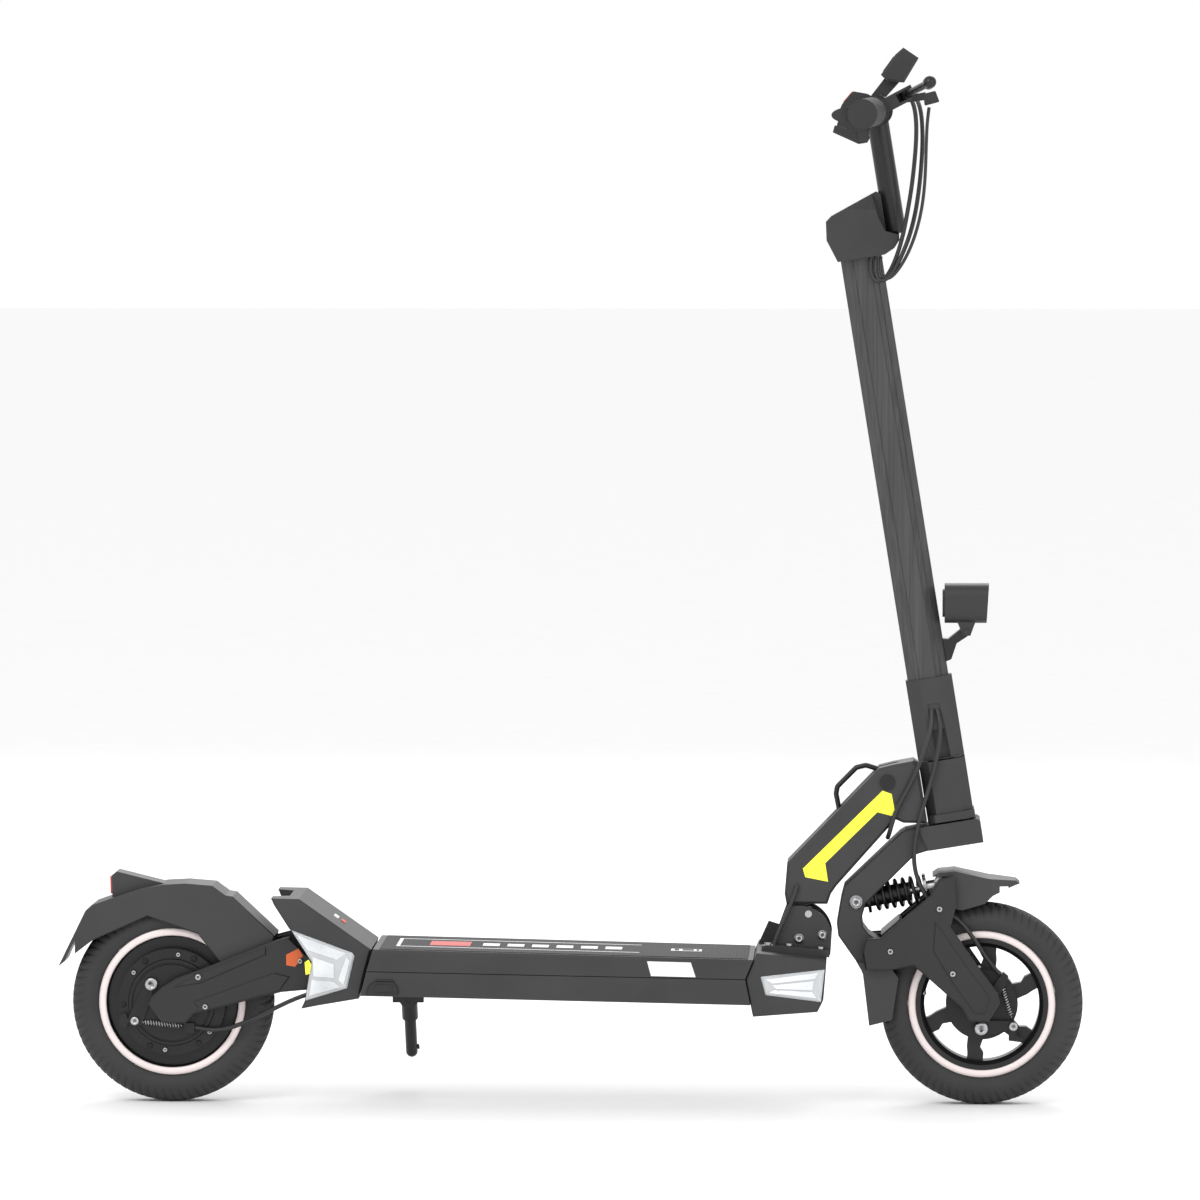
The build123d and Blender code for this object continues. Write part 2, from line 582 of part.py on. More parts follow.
STEM_FOOT = -58.0
with BuildPart() as sleeve:
    with BuildSketch(steer_plane(SLEEVE_FOOT)):
        with Locations((0.6, 0)):
            octagon(53)
    extrude(amount=SLEEVE_TOP - SLEEVE_FOOT)
    with BuildSketch(steer_plane(STEM_FOOT)):
        octagon(STEM_FLATS + 0.04)
    extrude(amount=100, mode=Mode.SUBTRACT)
    # a long tapering slot lets the cables out on the right side
    with BuildSketch(Plane.XZ.offset(18)):
        with BuildLine():
            Polyline(lean(-5.5, -28), lean(8, -28), lean(11, -70), lean(12, -91),
                     lean(-5, -91), close=True)
        make_face()
    extrude(amount=20, mode=Mode.SUBTRACT)
    # the steerer tube is part of the sleeve
    with BuildSketch(steer_plane(CROWN_FOOT)):
        Circle(14.98)
        Circle(11, mode=Mode.SUBTRACT)
    extrude(amount=SLEEVE_FOOT - CROWN_FOOT + 2)
save(sleeve, "sleeve")

with BuildPart() as stem_tube:
    with BuildSketch(steer_plane(STEM_FOOT + 0.1)) as stem_section:
        octagon(STEM_FLATS)
        Circle(19.5, mode=Mode.SUBTRACT)
        # shallow grooves of the extrusion
        for groove_d in (-9.6, 9.6, 15.5):
            groove_y = 23.5 if abs(groove_d) < 10 else 33.2 - 15.5
            with Locations((groove_d, groove_y), (groove_d, -groove_y)):
                Rectangle(1.3, 2.4, mode=Mode.SUBTRACT)
    extrude(amount=STEM_TOP - STEM_FOOT - 0.2)
save(stem_tube, "stem_tube")

# ---------------------------------------------------------------- stem head and bar post
HEAD = [(347.2, 1039.7), (296.7, 1011.7), (290.7, 1005.3), (291.5, 984.2), (304.3, 959.8),
        (357.3, 968.4), (368.5, 975.9), (374.0, 985.0), (372.5, 1019.0), (362.0, 1032.0)]
POST_R = 12.2
POST_FOOT = 505.0
POST_END = 650.0
with BuildPart() as stem_head:
    add(slab(HEAD, -35, 35))
    # the top falls away to both sides in large facets
    for side in (-1, 1):
        with BuildSketch(Plane(origin=(336, side * 36.5, 1017), x_dir=(1, 0, 0.52),
                               z_dir=(0, side * 1.0, 0.62))):
            Rectangle(200, 200)
        extrude(amount=60, mode=Mode.SUBTRACT)
    # the post stands in a scooped seat, open to both sides
    for y_low in (-60, 7):
        add(slab([(340, 1045), (395, 1045), (390, 993), (372, 991), (358, 995), (350, 1010)],
                 y_low, y_low + 53), mode=Mode.SUBTRACT)
    with BuildSketch(steer_plane(POST_FOOT)):
        with Locations((POST_OFFSET, 0)):
            Circle(POST_R + 0.02)
    extrude(amount=80, mode=Mode.SUBTRACT)
    # a spigot holds the stem tube
    with BuildSketch(steer_plane(STEM_TOP - 45)):
        Circle(19.4)
    extrude(amount=46)
save(stem_head, "stem_head")

with BuildPart() as handlebar:
    with BuildSketch(steer_plane(POST_FOOT + 0.1)):
        with Locations((POST_OFFSET, 0)):
            Circle(POST_R)
    extrude(amount=POST_END - POST_FOOT)
    fillet(handlebar.faces().sort_by(Axis.Z)[0].edges(), 4)
    # the bar sweeps back towards both ends
    bar_x, bar_z = BAR_CENTRE
    bar_end = (bar_x + BAR_SWEEP[0], BAR_HALF - 3, bar_z + BAR_SWEEP[1])
    bar_bend = (bar_x, 90, bar_z)
    with BuildLine() as bar_line:
        FilletPolyline(bar_end, bar_bend, (bar_x, -bar_bend[1], bar_z),
                       (bar_end[0], -bar_end[1], bar_end[2]), radius=60)
    with BuildSketch(Plane(origin=bar_line.line @ 0, z_dir=bar_line.line % 0)):
        Circle(BAR_R)
    sweep()
    # the clamp where the post meets the bar
    add(bar(bar_x, bar_z, 17, -24, 24))
save(handlebar, "handlebar")

GRIP_LENGTH = 122.0
with BuildPart() as grips:
    grip_dir = (Vector(*bar_end) - Vector(*bar_bend)).normalized()
    grip_end = Vector(*bar_end) + grip_dir * 3
    grip_plane = Plane(origin=grip_end - grip_dir * GRIP_LENGTH, x_dir=(1, 0, 0), z_dir=grip_dir)
    with BuildSketch(grip_plane):
        Circle(GRIP_R)
    with BuildSketch(grip_plane.offset(GRIP_LENGTH)):
        Circle(GRIP_R)
    loft()
    # the palm wing points back
    with BuildSketch(grip_plane.offset(GRIP_LENGTH * 0.35)):
        Ellipse(GRIP_R, GRIP_R * 0.6)
    with BuildSketch(grip_plane.offset(GRIP_LENGTH - 8)):
        with Locations((-13, 1.5)):
            Ellipse(22, 9)
    loft()
    with BuildSketch(grip_plane.offset(-1)):
        Circle(BAR_R + 0.02)
    extrude(amount=GRIP_LENGTH - 2, mode=Mode.SUBTRACT)
    mirror(about=Plane.XZ)
save(grips, "grips")

# ---------------------------------------------------------------- cockpit
LEVER_RISE = 27.7         # the levers point this far above level
LEVER_PIVOT = (41.0, 132.0)
LEVER_LINE = [(41, 132), (54, 156), (68, 184), (72, 222), (70, 262)]
LEVER_R = 5.6
LEVER_FORWARD = Vector(math.cos(math.radians(LEVER_RISE)), 0,
                       math.sin(math.radians(LEVER_RISE)))
LEVER_UP = Vector(-LEVER_FORWARD.Z, 0, LEVER_FORWARD.X)
LEVER_ORIGIN = Vector(BAR_CENTRE[0] - 4, 0, BAR_CENTRE[1] - 1)


def lever_plane(height=0.0):
    """The plane of the bar and the left brake lever: X forward of the bar, Y along it."""
    return Plane(origin=LEVER_ORIGIN + LEVER_UP * height, x_dir=LEVER_FORWARD,
                 z_dir=LEVER_UP)


DISPLAY = [(352.6, 1171.7), (369.0, 1194.5), (378.0, 1202.4), (395.4, 1190.6),
           (379.0, 1163.0), (360.0, 1164.5)]
with BuildPart() as display:
    add(slab(DISPLAY, -42, 42))
    for side in (0, -1):
        chamfer(display.faces().sort_by(Axis.Y)[side].edges(), 2.5)
    # its foot stands on the bar's clamp
    add(slab([(341, 1147.5), (360, 1172), (374, 1164), (358.5, 1146.5)], -13, 13))
    add(bar(bar_x, bar_z, 17.05, -45, 45), mode=Mode.SUBTRACT)
save(display, "display")

POD = [(322.1, 1152.8), (309.5, 1138.1), (303.5, 1123.0), (340.0, 1108.0), (352.0, 1141.0),
       (338.0, 1150.0)]
POD_SPAN = (142.0, 174.0)
POD_AXIS = (BAR_CENTRE[0] - 5.0, BAR_CENTRE[1] - 1.1)
BUTTON_AT = (315.8, 1145.5)
THROTTLE_PIVOT = (333.8, 1100.8)
with BuildPart() as bar_controls:
    # a pod on each side of the bar, switches on the left and throttle on the right
    add(slab(POD, *POD_SPAN, 2))
    add(bar(*POD_AXIS, 17.5, POD_SPAN[0] + 3, POD_SPAN[1] - 2))
    # the brake brackets clamp the bar and reach forward to the lever pivots
    with BuildSketch(lever_plane(-8)):
        Polygon((2, 117), (44, 117), (50, 122), (50, 141), (2, 141), align=None)
    extrude(amount=16)
    add(bar(BAR_CENTRE[0] - 3.5, BAR_CENTRE[1] - 0.8, 16, 117, 141))
    with BuildSketch(lever_plane(-4.9)):
        Polygon((30, 125), (60, 121), (60, 150), (30, 150), align=None)
    extrude(amount=9.8, mode=Mode.SUBTRACT)
    # cable adjuster, towards the middle
    with BuildSketch(Plane(origin=LEVER_ORIGIN + LEVER_FORWARD * 37 + Vector(0, 118, 0),
                           z_dir=(0, -1, 0))):
        Circle(5)
    extrude(amount=13)
    mirror(about=Plane.XZ)
    # the switch pod is longer on the left, where the throttle hangs on the right
    add(slab([(304.0, 1122.9), (299.6, 1107.2), (327.8, 1095.9), (339.6, 1108.3)],
             *POD_SPAN, 1.5))
    # brake light switch under the right lever
    add(slab([(400.5, 1150.0), (414.0, 1153.5), (418.8, 1141.0), (402.0, 1136.5)],
             -118, -100, 1.5))
    add(slab([(380.0, 1140.0), (392.0, 1150.0), (403.0, 1152.0), (403.0, 1143.0)],
             -117.5, -106))
    # a seat for the mode button in the left pod
    with BuildSketch(Plane(origin=(BUTTON_AT[0] + 1.37, 158, BUTTON_AT[1] - 1.17),
                           z_dir=(-0.76, 0, 0.65))):
        RectangleRounded(16.8, 9.8, 3.4)
    extrude(amount=8, mode=Mode.SUBTRACT)
    # the throttle hangs on a pin between two ears
    for y_low in (-174.5, -147.6):
        add(slab([(326.0, 1112.0), (328.5, 1097.0), (333.8, 1094.5), (339.5, 1097.5),
                  (340.5, 1112.0)], y_low, y_low + 4.1, 1.5))
    add(bar(*THROTTLE_PIVOT, 2.5, -174, -145))
    # bores for the handlebar and for the lever pivots
    add(handlebar.part, mode=Mode.SUBTRACT)
    for side in (-1, 1):
        with BuildSketch(Plane(origin=LEVER_ORIGIN + LEVER_FORWARD * LEVER_PIVOT[0]
                               + Vector(0, LEVER_PIVOT[1] * side, 0), z_dir=LEVER_UP)):
            Circle(3)
        extrude(amount=20, both=True, mode=Mode.SUBTRACT)
save(bar_controls, "bar_controls")


def brake_lever(side):
    """A curved finger lever with a ball end; side is 1 on the left, -1 on the right."""
    with BuildPart() as lever:
        with BuildLine(lever_plane()) as lever_line:
            FilletPolyline(*LEVER_LINE, radius=22)
        with BuildSketch(Plane(origin=lever_line.line @ 0, x_dir=LEVER_UP,
                               z_dir=lever_line.line % 0)):
            Ellipse(4.2, LEVER_R)
        sweep()
        with Locations(lever_plane().from_local_coords(Vector(70, 262, 0))):
            Sphere(7.2)
        with BuildSketch(lever_plane(-4.5)):
            with Locations(LEVER_PIVOT):
                Circle(7)
        extrude(amount=9)
        # the pivot pin is pressed into the lever
        with BuildSketch(lever_plane(-8)):
            with Locations(LEVER_PIVOT):
                Circle(3 - RUN_FIT)
        extrude(amount=16)
        if side < 0:
            mirror(about=Plane.XZ, mode=Mode.REPLACE)
    return lever


brake_lever_left = brake_lever(1)
save(brake_lever_left, "brake_lever_left")
brake_lever_right = brake_lever(-1)
save(brake_lever_right, "brake_lever_right")

with BuildPart() as throttle_lever:
    add(slab([(301.5, 1115.0), (299.4, 1106.9), (328.2, 1093.9), (338.0, 1095.5),
              (341.0, 1101.0), (337.5, 1107.2), (330.0, 1106.5)], -170, -148, 1.2))
    add(bar(*THROTTLE_PIVOT, 2.5 + RUN_FIT, -180, -140), mode=Mode.SUBTRACT)
save(throttle_lever, "throttle_lever")

with BuildPart() as mode_button:
    with BuildSketch(Plane(origin=(BUTTON_AT[0] + 0.23, 158, BUTTON_AT[1] - 0.2),
                           z_dir=(-0.76, 0, 0.65))):
        RectangleRounded(16, 9, 3)
    extrude(amount=2.9)
save(mode_button, "mode_button")

# ---------------------------------------------------------------- headlight
LAMP_PIVOT = (451.1, 539.2)
LAMP_Z = 571.5
with BuildPart() as headlight_bracket:
    add(slab([lean(23.6, 16), lean(23.6, 42), (430.5, 531.0), (446.5, 544.0), (454.0, 544.0),
              (456.0, 538.0), (452.0, 534.0), (440.0, 526.0), (434.0, 508.0)], -11, 11))
    add(bar(*LAMP_PIVOT, 3.06, -20, 20), mode=Mode.SUBTRACT)
save(headlight_bracket, "headlight_bracket")

with BuildPart() as headlight:
    with BuildSketch(Plane.YZ.offset(426.2)):
        with Locations((0, LAMP_Z)):
            RectangleRounded(46, 44.6, 14)
    extrude(amount=52)
    # the front face leans back towards its foot, under a small brow
    add(slab([(477.0, 600.0), (473.6, 545.0), (490.0, 545.0), (490.0, 600.0)], -40, 40),
        mode=Mode.SUBTRACT)
    with BuildSketch(Plane.YZ.offset(468)):
        with Locations((0, LAMP_Z)):
            RectangleRounded(40, 38.6, 11)
    extrude(amount=20, mode=Mode.SUBTRACT)
    with BuildSketch(Plane.YZ.offset(423.8)):
        with Locations((0, LAMP_Z)):
            RectangleRounded(34, 31, 9)
    extrude(amount=2.5)
    for low in (-15.5, 11.4):
        add(slab([(440.4, 551.0), (461.4, 551.0), (455.5, 535.0), (447.0, 535.0)],
                 low, low + 4.1))
    add(bar(*LAMP_PIVOT, 3, -18, 18))
save(headlight, "headlight")

# ---------------------------------------------------------------- front shock
SHOCK_LENGTH = math.dist(SHOCK_FRAME, SHOCK_ARM)


def shock_plane(distance):
    """The plane square to the shock, this far from its frame bolt."""
    return along(toward(SHOCK_FRAME, SHOCK_ARM, distance), toward(SHOCK_FRAME, SHOCK_ARM, 200))


with BuildPart() as shock_body:
    with BuildSketch(shock_plane(6)):
        Circle(10.5)
    extrude(amount=56)
    with BuildSketch(shock_plane(12)):
        Circle(17.2)
    extrude(amount=3.5)
    add(bar(*SHOCK_FRAME, 9, -10.5, 10.5))
    add(bar(*SHOCK_FRAME, 4 + RUN_FIT, -30, 30), mode=Mode.SUBTRACT)
    with BuildSketch(shock_plane(31)):
        Circle(4 + RUN_FIT)
    extrude(amount=40, mode=Mode.SUBTRACT)
save(shock_body, "shock_body")

with BuildPart() as shock_rod:
    with BuildSketch(shock_plane(45)):
        Circle(4)
    extrude(amount=SHOCK_LENGTH - 52)
    with BuildSketch(shock_plane(78)):
        Circle(17.2)
    extrude(amount=3.5)
    with BuildSketch(shock_plane(81)):
        Circle(9)
    extrude(amount=10)
    add(bar(*SHOCK_ARM, 8.5, -10.5, 10.5))
    add(bar(*SHOCK_ARM, 6, -30, 30), mode=Mode.SUBTRACT)
save(shock_rod, "shock_rod")

with BuildPart() as shock_spring:
    with BuildSketch(shock_plane(15.6)):
        Circle(17)
        Circle(12, mode=Mode.SUBTRACT)
    extrude(amount=62.3)
save(shock_spring, "shock_spring")

# ---------------------------------------------------------------- front swing arm
ARM = [(336.9, 191.7), (333.6, 175.4), (336.9, 155.9), (364.0, 155.9), (392.2, 161.3),
       (446.5, 113.5), (455.2, 97.8), (476.9, 97.3), (489.9, 119.0), (487.7, 129.8),
       (468.2, 155.9), (433.5, 205.8), (440.0, 229.7), (437.8, 264.4), (419.4, 259.0),
       (410.7, 241.6), (354.2, 192.8)]
PLATE_INSET = 2.2         # a swing arm's plate is this much smaller than its cover


def inset(points, amount):
    """The corners of a side outline drawn in by this amount."""
    edges = list(zip(points[-1:] + points[:-1], points))
    area = sum(a[0] * b[1] - b[0] * a[1] for a, b in edges)
    lines = []
    for a, b in edges:
        size = math.copysign(math.dist(a, b), area)
        normal = ((a[1] - b[1]) / size, (b[0] - a[0]) / size)
        lines.append((*normal, normal[0] * a[0] + normal[1] * a[1] + amount))
    return [((d1 * v2 - d2 * v1) / (u1 * v2 - u2 * v1),
             (u1 * d2 - u2 * d1) / (u1 * v2 - u2 * v1))
            for (u1, v1, d1), (u2, v2, d2) in zip(lines, lines[1:] + lines[:1])]


with BuildPart() as front_arm:
    add(slab(inset(ARM, PLATE_INSET), -ARM_OUT, -ARM_IN))
    # the hub reaches in to the front frame
    add(bar(*FRONT_PIVOT, 12, -ARM_IN, -FRAME_HALF - 0.4))
    mirror(about=Plane.XZ)
    # the bridge over the tyre carries the shock
    add(slab([(409.5, 244.0), (413.5, 237.5), (436.5, 237.5), (436.0, 261.5),
              (420.5, 257.5)], -ARM_IN, ARM_IN))
    # a web closes the gap between the arms in front of the frame
    add(slab([(354.5, 195.5), (357.5, 192.5), (378.0, 210.0), (375.0, 213.0)],
             -ARM_IN - 2, ARM_IN + 2))
    # room for the shock's eye, and for its spring seat behind it
    add(slab([(380, 268), (384, 234), (409, 234), (433.2, 236), (433.2, 268)], -12, 12),
        mode=Mode.SUBTRACT)
    add(slab([(395, 268), (395, 222), (411, 222), (411, 268)], -18.6, 18.6),
        mode=Mode.SUBTRACT)
    add(bar(*SHOCK_ARM, 4, -20, 20))
    add(bar(*FRONT_PIVOT, AXLE_R + RUN_FIT, -60, 60), mode=Mode.SUBTRACT)
    add(bar(FRONT_X, AXLE_Z, AXLE_R + 0.02, -60, 60), mode=Mode.SUBTRACT)
save(front_arm, "front_arm")

with BuildPart() as front_arm_covers:
    add(cover(ARM, ARM_OUT + 0.05, COVER_OUT, 2))
    # a raised inner panel follows the arm from the lobe to the axle
    add(cover([(416.0, 212.0), (424.5, 200.0), (455.0, 156.0), (478.0, 126.0),
               (473.0, 107.5), (461.0, 107.5), (436.0, 142.0), (414.0, 178.0)],
              COVER_OUT - 0.1, COVER_OUT + 1.8, 1))
    for screw_x, screw_z in ((420.9, 226.2), (436.1, 152.6), (365.3, 177.6)):
        lift = 1.75 if screw_z < 160 else 0
        add(screw(screw_x, screw_z, 2.9, -COVER_OUT - lift, 1.4))
    mirror(about=Plane.XZ)
save(front_arm_covers, "front_arm_covers")

WING = [(413.0, 261.7), (419.5, 266.1), (438.0, 267.9), (477.1, 259.4), (507.8, 256.6),
        (512.3, 253.1), (503.3, 249.8), (481.4, 239.8), (472.7, 231.1), (446.6, 223.5),
        (440.0, 225.0), (436.6, 238.0), (436.2, 261.9)]
FLAP = [(334.0, 150.5), (341.2, 91.4), (367.2, 97.9), (374.5, 145.7), (371.0, 150.5)]
with BuildPart() as front_fender:
    add(slab(WING, -FENDER_HALF, FENDER_HALF))
    add(slab([(430, 205), (441.5, 205), (441.5, 257.5), (477, 250.5), (500, 250.2),
              (488, 205)], -31.5, 31.5), mode=Mode.SUBTRACT)
    add(bar(FRONT_X, AXLE_Z, TYRE_R + 4, -31.5, 31.5), mode=Mode.SUBTRACT)
    # the wing narrows to a beak
    with BuildSketch(Plane.XY.offset(200)):
        for side in (-1, 1):
            Polygon((478, 37 * side), (530, 12 * side), (530, 60 * side), (470, 60 * side),
                    align=None)
    extrude(amount=100, mode=Mode.SUBTRACT)
    # the flap behind the wheel
    add(slab(FLAP, -FENDER_HALF, FENDER_HALF))
    for y_low in (-ARM_IN, FRAME_HALF + 0.6):
        add(slab([(328.1, 164.2), (334.0, 150.4), (371.0, 150.4), (364.0, 160.0)],
                 y_low, y_low + ARM_IN - FRAME_HALF - 0.6))
    add(bar(*FRONT_PIVOT, 12.02, -60, 60), mode=Mode.SUBTRACT)
    add(slab([(340.0, 170.0), (347.0, 85.0), (390.0, 85.0), (390.0, 170.0)], -31.5, 31.5),
        mode=Mode.SUBTRACT)
save(front_fender, "front_fender")

FRONT_CAM = (468.7, 88.2)
FRONT_CAM_PIN = (505.2, 90.6)
with BuildPart() as front_brake_plate:
    add(washer(FRONT_X, AXLE_Z, AXLE_R + 0.02, 39.5, -19, -15.2))
    add(slab([(480.0, 132.0), (489.0, 146.0), (494.0, 152.0), (499.5, 147.5),
              (497.0, 138.0), (490.0, 127.0)], -28, -16))
    # brake shoes on their post, inside the wheel's drum
    with BuildSketch(Plane(origin=(FRONT_X, -14.5, AXLE_Z), x_dir=(1, 0, 0),
                           z_dir=(0, -1, 0))):
        Circle(35.2)
        Circle(28, mode=Mode.SUBTRACT)
        Rectangle(12, 80, mode=Mode.SUBTRACT)
    extrude(amount=-11)
    add(bar(FRONT_X, AXLE_Z + 29, 5.5, -15.3, -4))
    for shoe_x in (-30, 30):
        add(bar(FRONT_X + shoe_x, AXLE_Z, 3, -15.3, -14))
    add(bar(*FRONT_CAM, 4 + RUN_FIT, -60, 0), mode=Mode.SUBTRACT)
save(front_brake_plate, "front_brake_plate")

with BuildPart() as front_brake_cam:
    add(bar(*FRONT_CAM, 4, -28.6, -6))
    add(screw(*FRONT_CAM, 7.6, -28.5, 4.5))
    add(slab([(462.5, 84.0), (468.0, 79.5), (505.0, 85.5), (511.0, 91.0), (505.5, 96.5),
              (468.0, 97.0), (462.5, 93.5)], -28.6, -23.5, 1.5))
    add(bar(*FRONT_CAM_PIN, 4, -33, -28))
    # the adjusting nut on the cable's end
    add(slab([(500.0, 88.0), (508.0, 89.0), (509.5, 79.0), (515.5, 76.0), (513.5, 72.3),
              (500.0, 74.0), (500.0, 78.5)], -27, -24))
save(front_brake_cam, "front_brake_cam")

# ---------------------------------------------------------------- rear swing arm
REAR_ARM = [(-479.4, 114.7), (-476.0, 123.5), (-464.2, 134.0), (-448.0, 144.1),
            (-417.6, 155.3), (-338.5, 186.7), (-319.0, 192.0), (-299.0, 172.0),
            (-262.0, 166.0), (-256.0, 150.0), (-262.0, 136.5), (-300.0, 131.5),
            (-328.0, 128.9), (-427.7, 103.6), (-437.8, 92.8), (-464.2, 93.5)]
with BuildPart() as rear_arm:
    add(slab(inset(REAR_ARM, PLATE_INSET), -ARM_OUT, -ARM_IN))
    mirror(about=Plane.XZ)
    add(slab([(-323.0, 184.0), (-303.0, 170.0), (-301.0, 137.0), (-321.0, 134.0)],
             -ARM_IN, ARM_IN))
    add(bar(*REAR_PIVOT, 13, -ARM_IN, ARM_IN))
    add(slab([(-303.0, 160.0), (-274.0, 160.0), (-274.0, 141.0), (-303.0, 141.0)], -10, 10))
    add(bar(*REAR_PIVOT, AXLE_R + RUN_FIT, -60, 60), mode=Mode.SUBTRACT)
    add(bar(REAR_X, AXLE_Z, AXLE_R + 0.02, -60, 60), mode=Mode.SUBTRACT)
save(rear_arm, "rear_arm")

with BuildPart() as rear_arm_covers:
    add(cover(REAR_ARM, ARM_OUT + 0.05, COVER_OUT, 2))
    # raised panel along the lower half
    add(cover([(-427.0, 118.0), (-421.0, 106.5), (-330.0, 130.5), (-318.0, 147.0),
               (-336.0, 151.0)], COVER_OUT - 0.1, COVER_OUT + 1.8, 1))
    add(cover([(-452.0, 134.0), (-420.0, 139.0), (-345.0, 172.0), (-345.0, 180.5),
               (-420.0, 150.5)], COVER_OUT - 0.1, COVER_OUT + 1.8, 1))
    for screw_x, screw_z, lift in ((-422.4, 146.1, 1.75), (-414.5, 112.2, 1.75),
                                   (-306.0, 164.6, 0)):
        add(screw(screw_x, screw_z, 2.9, -COVER_OUT - lift, 1.4))
    add(bar(*REAR_PIVOT, AXLE_R + 0.5, -60, 0), mode=Mode.SUBTRACT)
    mirror(about=Plane.XZ)
save(rear_arm_covers, "rear_arm_covers")

REAR_FENDER = [(-584.5, 155.5), (-552.7, 219.8), (-543.6, 226.9), (-523.3, 234.0),
               (-490.0, 245.0), (-463.1, 250.1), (-437.8, 251.4), (-407.4, 248.9),
               (-392.4, 238.0), (-384.0, 236.7), (-336.3, 192.0), (-338.5, 184.0),
               (-397.9, 160.0), (-424.2, 194.1), (-481.3, 214.1), (-545.2, 185.7)]
with BuildPart() as rear_fender:
    add(slab(REAR_FENDER, -FENDER_HALF, FENDER_HALF))
    for side in (0, -1):
        chamfer(rear_fender.faces().sort_by(Axis.Y)[side].edges(), 1.2)
    add(bar(REAR_X, AXLE_Z, 131, -31.5, 31.5), mode=Mode.SUBTRACT)
    # the tail narrows
    with BuildSketch(Plane.XY.offset(100)):
        for side in (-1, 1):
            Polygon((-600, 22 * side), (-545, 37 * side), (-545, 60 * side),
                    (-600, 60 * side), align=None)
    extrude(amount=200, mode=Mode.SUBTRACT)
    # flaps bolted to the insides of the arms
    for y_low in (-ARM_IN, ARM_IN - 4.6):
        add(slab([(-399.0, 163.5), (-343.0, 186.5), (-337.0, 178.0), (-392.0, 152.0)],
                 y_low, y_low + 4.6))
    # the tail light pod
    add(slab([(-523.0, 233.0), (-523.8, 258.6), (-518.0, 263.7), (-463.0, 250.0),
              (-475.0, 243.0)], -19, 19))
save(rear_fender, "rear_fender")

REAR_CAM = (-477.2, 136.1)
REAR_CAM_PIN = (-496.3, 94.2)
with BuildPart() as rear_brake_plate:
    add(washer(REAR_X, AXLE_Z, AXLE_R + 0.02, 43, -32, -29.2))
    add(slab([(-440.0, 92.0), (-440.0, 80.5), (-428.0, 80.5), (-428.0, 92.0)], -38.4, -31))
    with BuildSketch(Plane(origin=(REAR_X, -29.3, AXLE_Z), x_dir=(1, 0, 0),
                           z_dir=(0, -1, 0))):
        Circle(39.8)
        Circle(33, mode=Mode.SUBTRACT)
        Rectangle(12, 90, rotation=-47, mode=Mode.SUBTRACT)
    extrude(amount=-12)
    add(bar(*REAR_CAM, 4 + RUN_FIT, -60, 0), mode=Mode.SUBTRACT)
save(rear_brake_plate, "rear_brake_plate")

with BuildPart() as rear_brake_cam:
    add(bar(*REAR_CAM, 4, -33, -20))
    add(screw(*REAR_CAM, 7.3, -35.2, 2.2))
    add(slab([(-483.0, 141.5), (-471.0, 141.5), (-488.5, 89.0), (-501.5, 89.0),
              (-504.0, 97.0)], -35.3, -32.3, 2))
    add(bar(*REAR_CAM_PIN, 4, -38.5, -35))
    add(slab([(-514.0, 99.0), (-507.0, 103.5), (-504.0, 96.0), (-499.0, 97.0),
              (-499.0, 91.5), (-504.0, 92.0), (-507.0, 85.0), (-514.0, 89.0)],
             -36.3, -33.5))
save(rear_brake_cam, "rear_brake_cam")

# ---------------------------------------------------------------- cables and leads


def corner_radii(points):
    """The arc at each corner of a cable's route, as large as its two runs allow."""
    radii = []
    for before, here, after in zip(points, points[1:], points[2:]):
        run_in = Vector(*here) - Vector(*before)
        run_out = Vector(*after) - Vector(*here)
        half_turn = math.radians(run_in.get_angle(run_out)) / 2
        radii.append(0.45 * min(run_in.length, run_out.length) / math.tan(half_turn))
    return radii


def cable(points, radius=CABLE_R):
    """A round cable along straight runs joined by tangent arcs."""
    radii = corner_radii(points)
    with BuildPart() as tube:
        with BuildLine() as route:
            FilletPolyline(*points, radius=radii)
        with BuildSketch(Plane(origin=route.line @ 0, z_dir=route.line % 0)):
            Circle(radius)
        sweep()
    length = route.wire().length
    print(f"cable {length:.0f} mm, tightest arc {min(radii):.1f} mm, volume ratio "
          f"{tube.part.volume / (math.pi * radius ** 2 * length):.4f}")
    return tube.part


RIGHT_BRAKE_CABLE = [
    (379.0, -103.5, 1147.3), (382, -94, 1148), (388, -81, 1143), (391.5, -71, 1131),
    (393, -63, 1114), (392.5, -56, 1093), (390.5, -50, 1069), (387.5, -46.5, 1043),
    (383.0, -44, 1016), (378.0, -42.5, 990), (371.0, -41, 966), (362.5, -38, 947),
    (354.0, -34.5, 938), (346.0, -31, 939), (342.0, -28.5, 947.5), (341.3, -27.5, 957),
    (342.0, -27.3, 964.4)]
LEFT_BRAKE_CABLE = [
    (379.0, 103.5, 1147.3), (383, 93, 1149), (390, 78, 1148), (395, 62, 1142),
    (398.5, 45, 1129), (400, 28, 1111), (400, 11, 1090), (398.5, -6, 1066),
    (396, -21, 1041), (392, -33, 1015), (386.0, -41, 991), (377.5, -45, 969),
    (368.0, -44, 950), (358.0, -39, 939), (350.5, -33.5, 940), (347.3, -30, 949),
    (347.0, -28, 958), (347.6, -27.3, 965.0)]
SWITCH_CABLE = [
    (407.0, -109.0, 1134.6), (405.5, -106, 1123), (404.5, -99, 1109), (404, -89, 1092),
    (403.5, -78, 1072), (402.5, -68, 1049), (400, -59, 1025), (395, -52.5, 1001),
    (387.5, -48.5, 978), (377.0, -46.5, 957), (365.0, -42.5, 942), (356.5, -36.5, 941),
    (353.0, -31.5, 949), (352.5, -28.5, 958), (353.2, -27.3, 965.9)]
with BuildPart() as cockpit_cables:
    add(cable(RIGHT_BRAKE_CABLE))
    add(cable(LEFT_BRAKE_CABLE))
    add(cable(SWITCH_CABLE, 1.9))
save(cockpit_cables, "cockpit_cables")

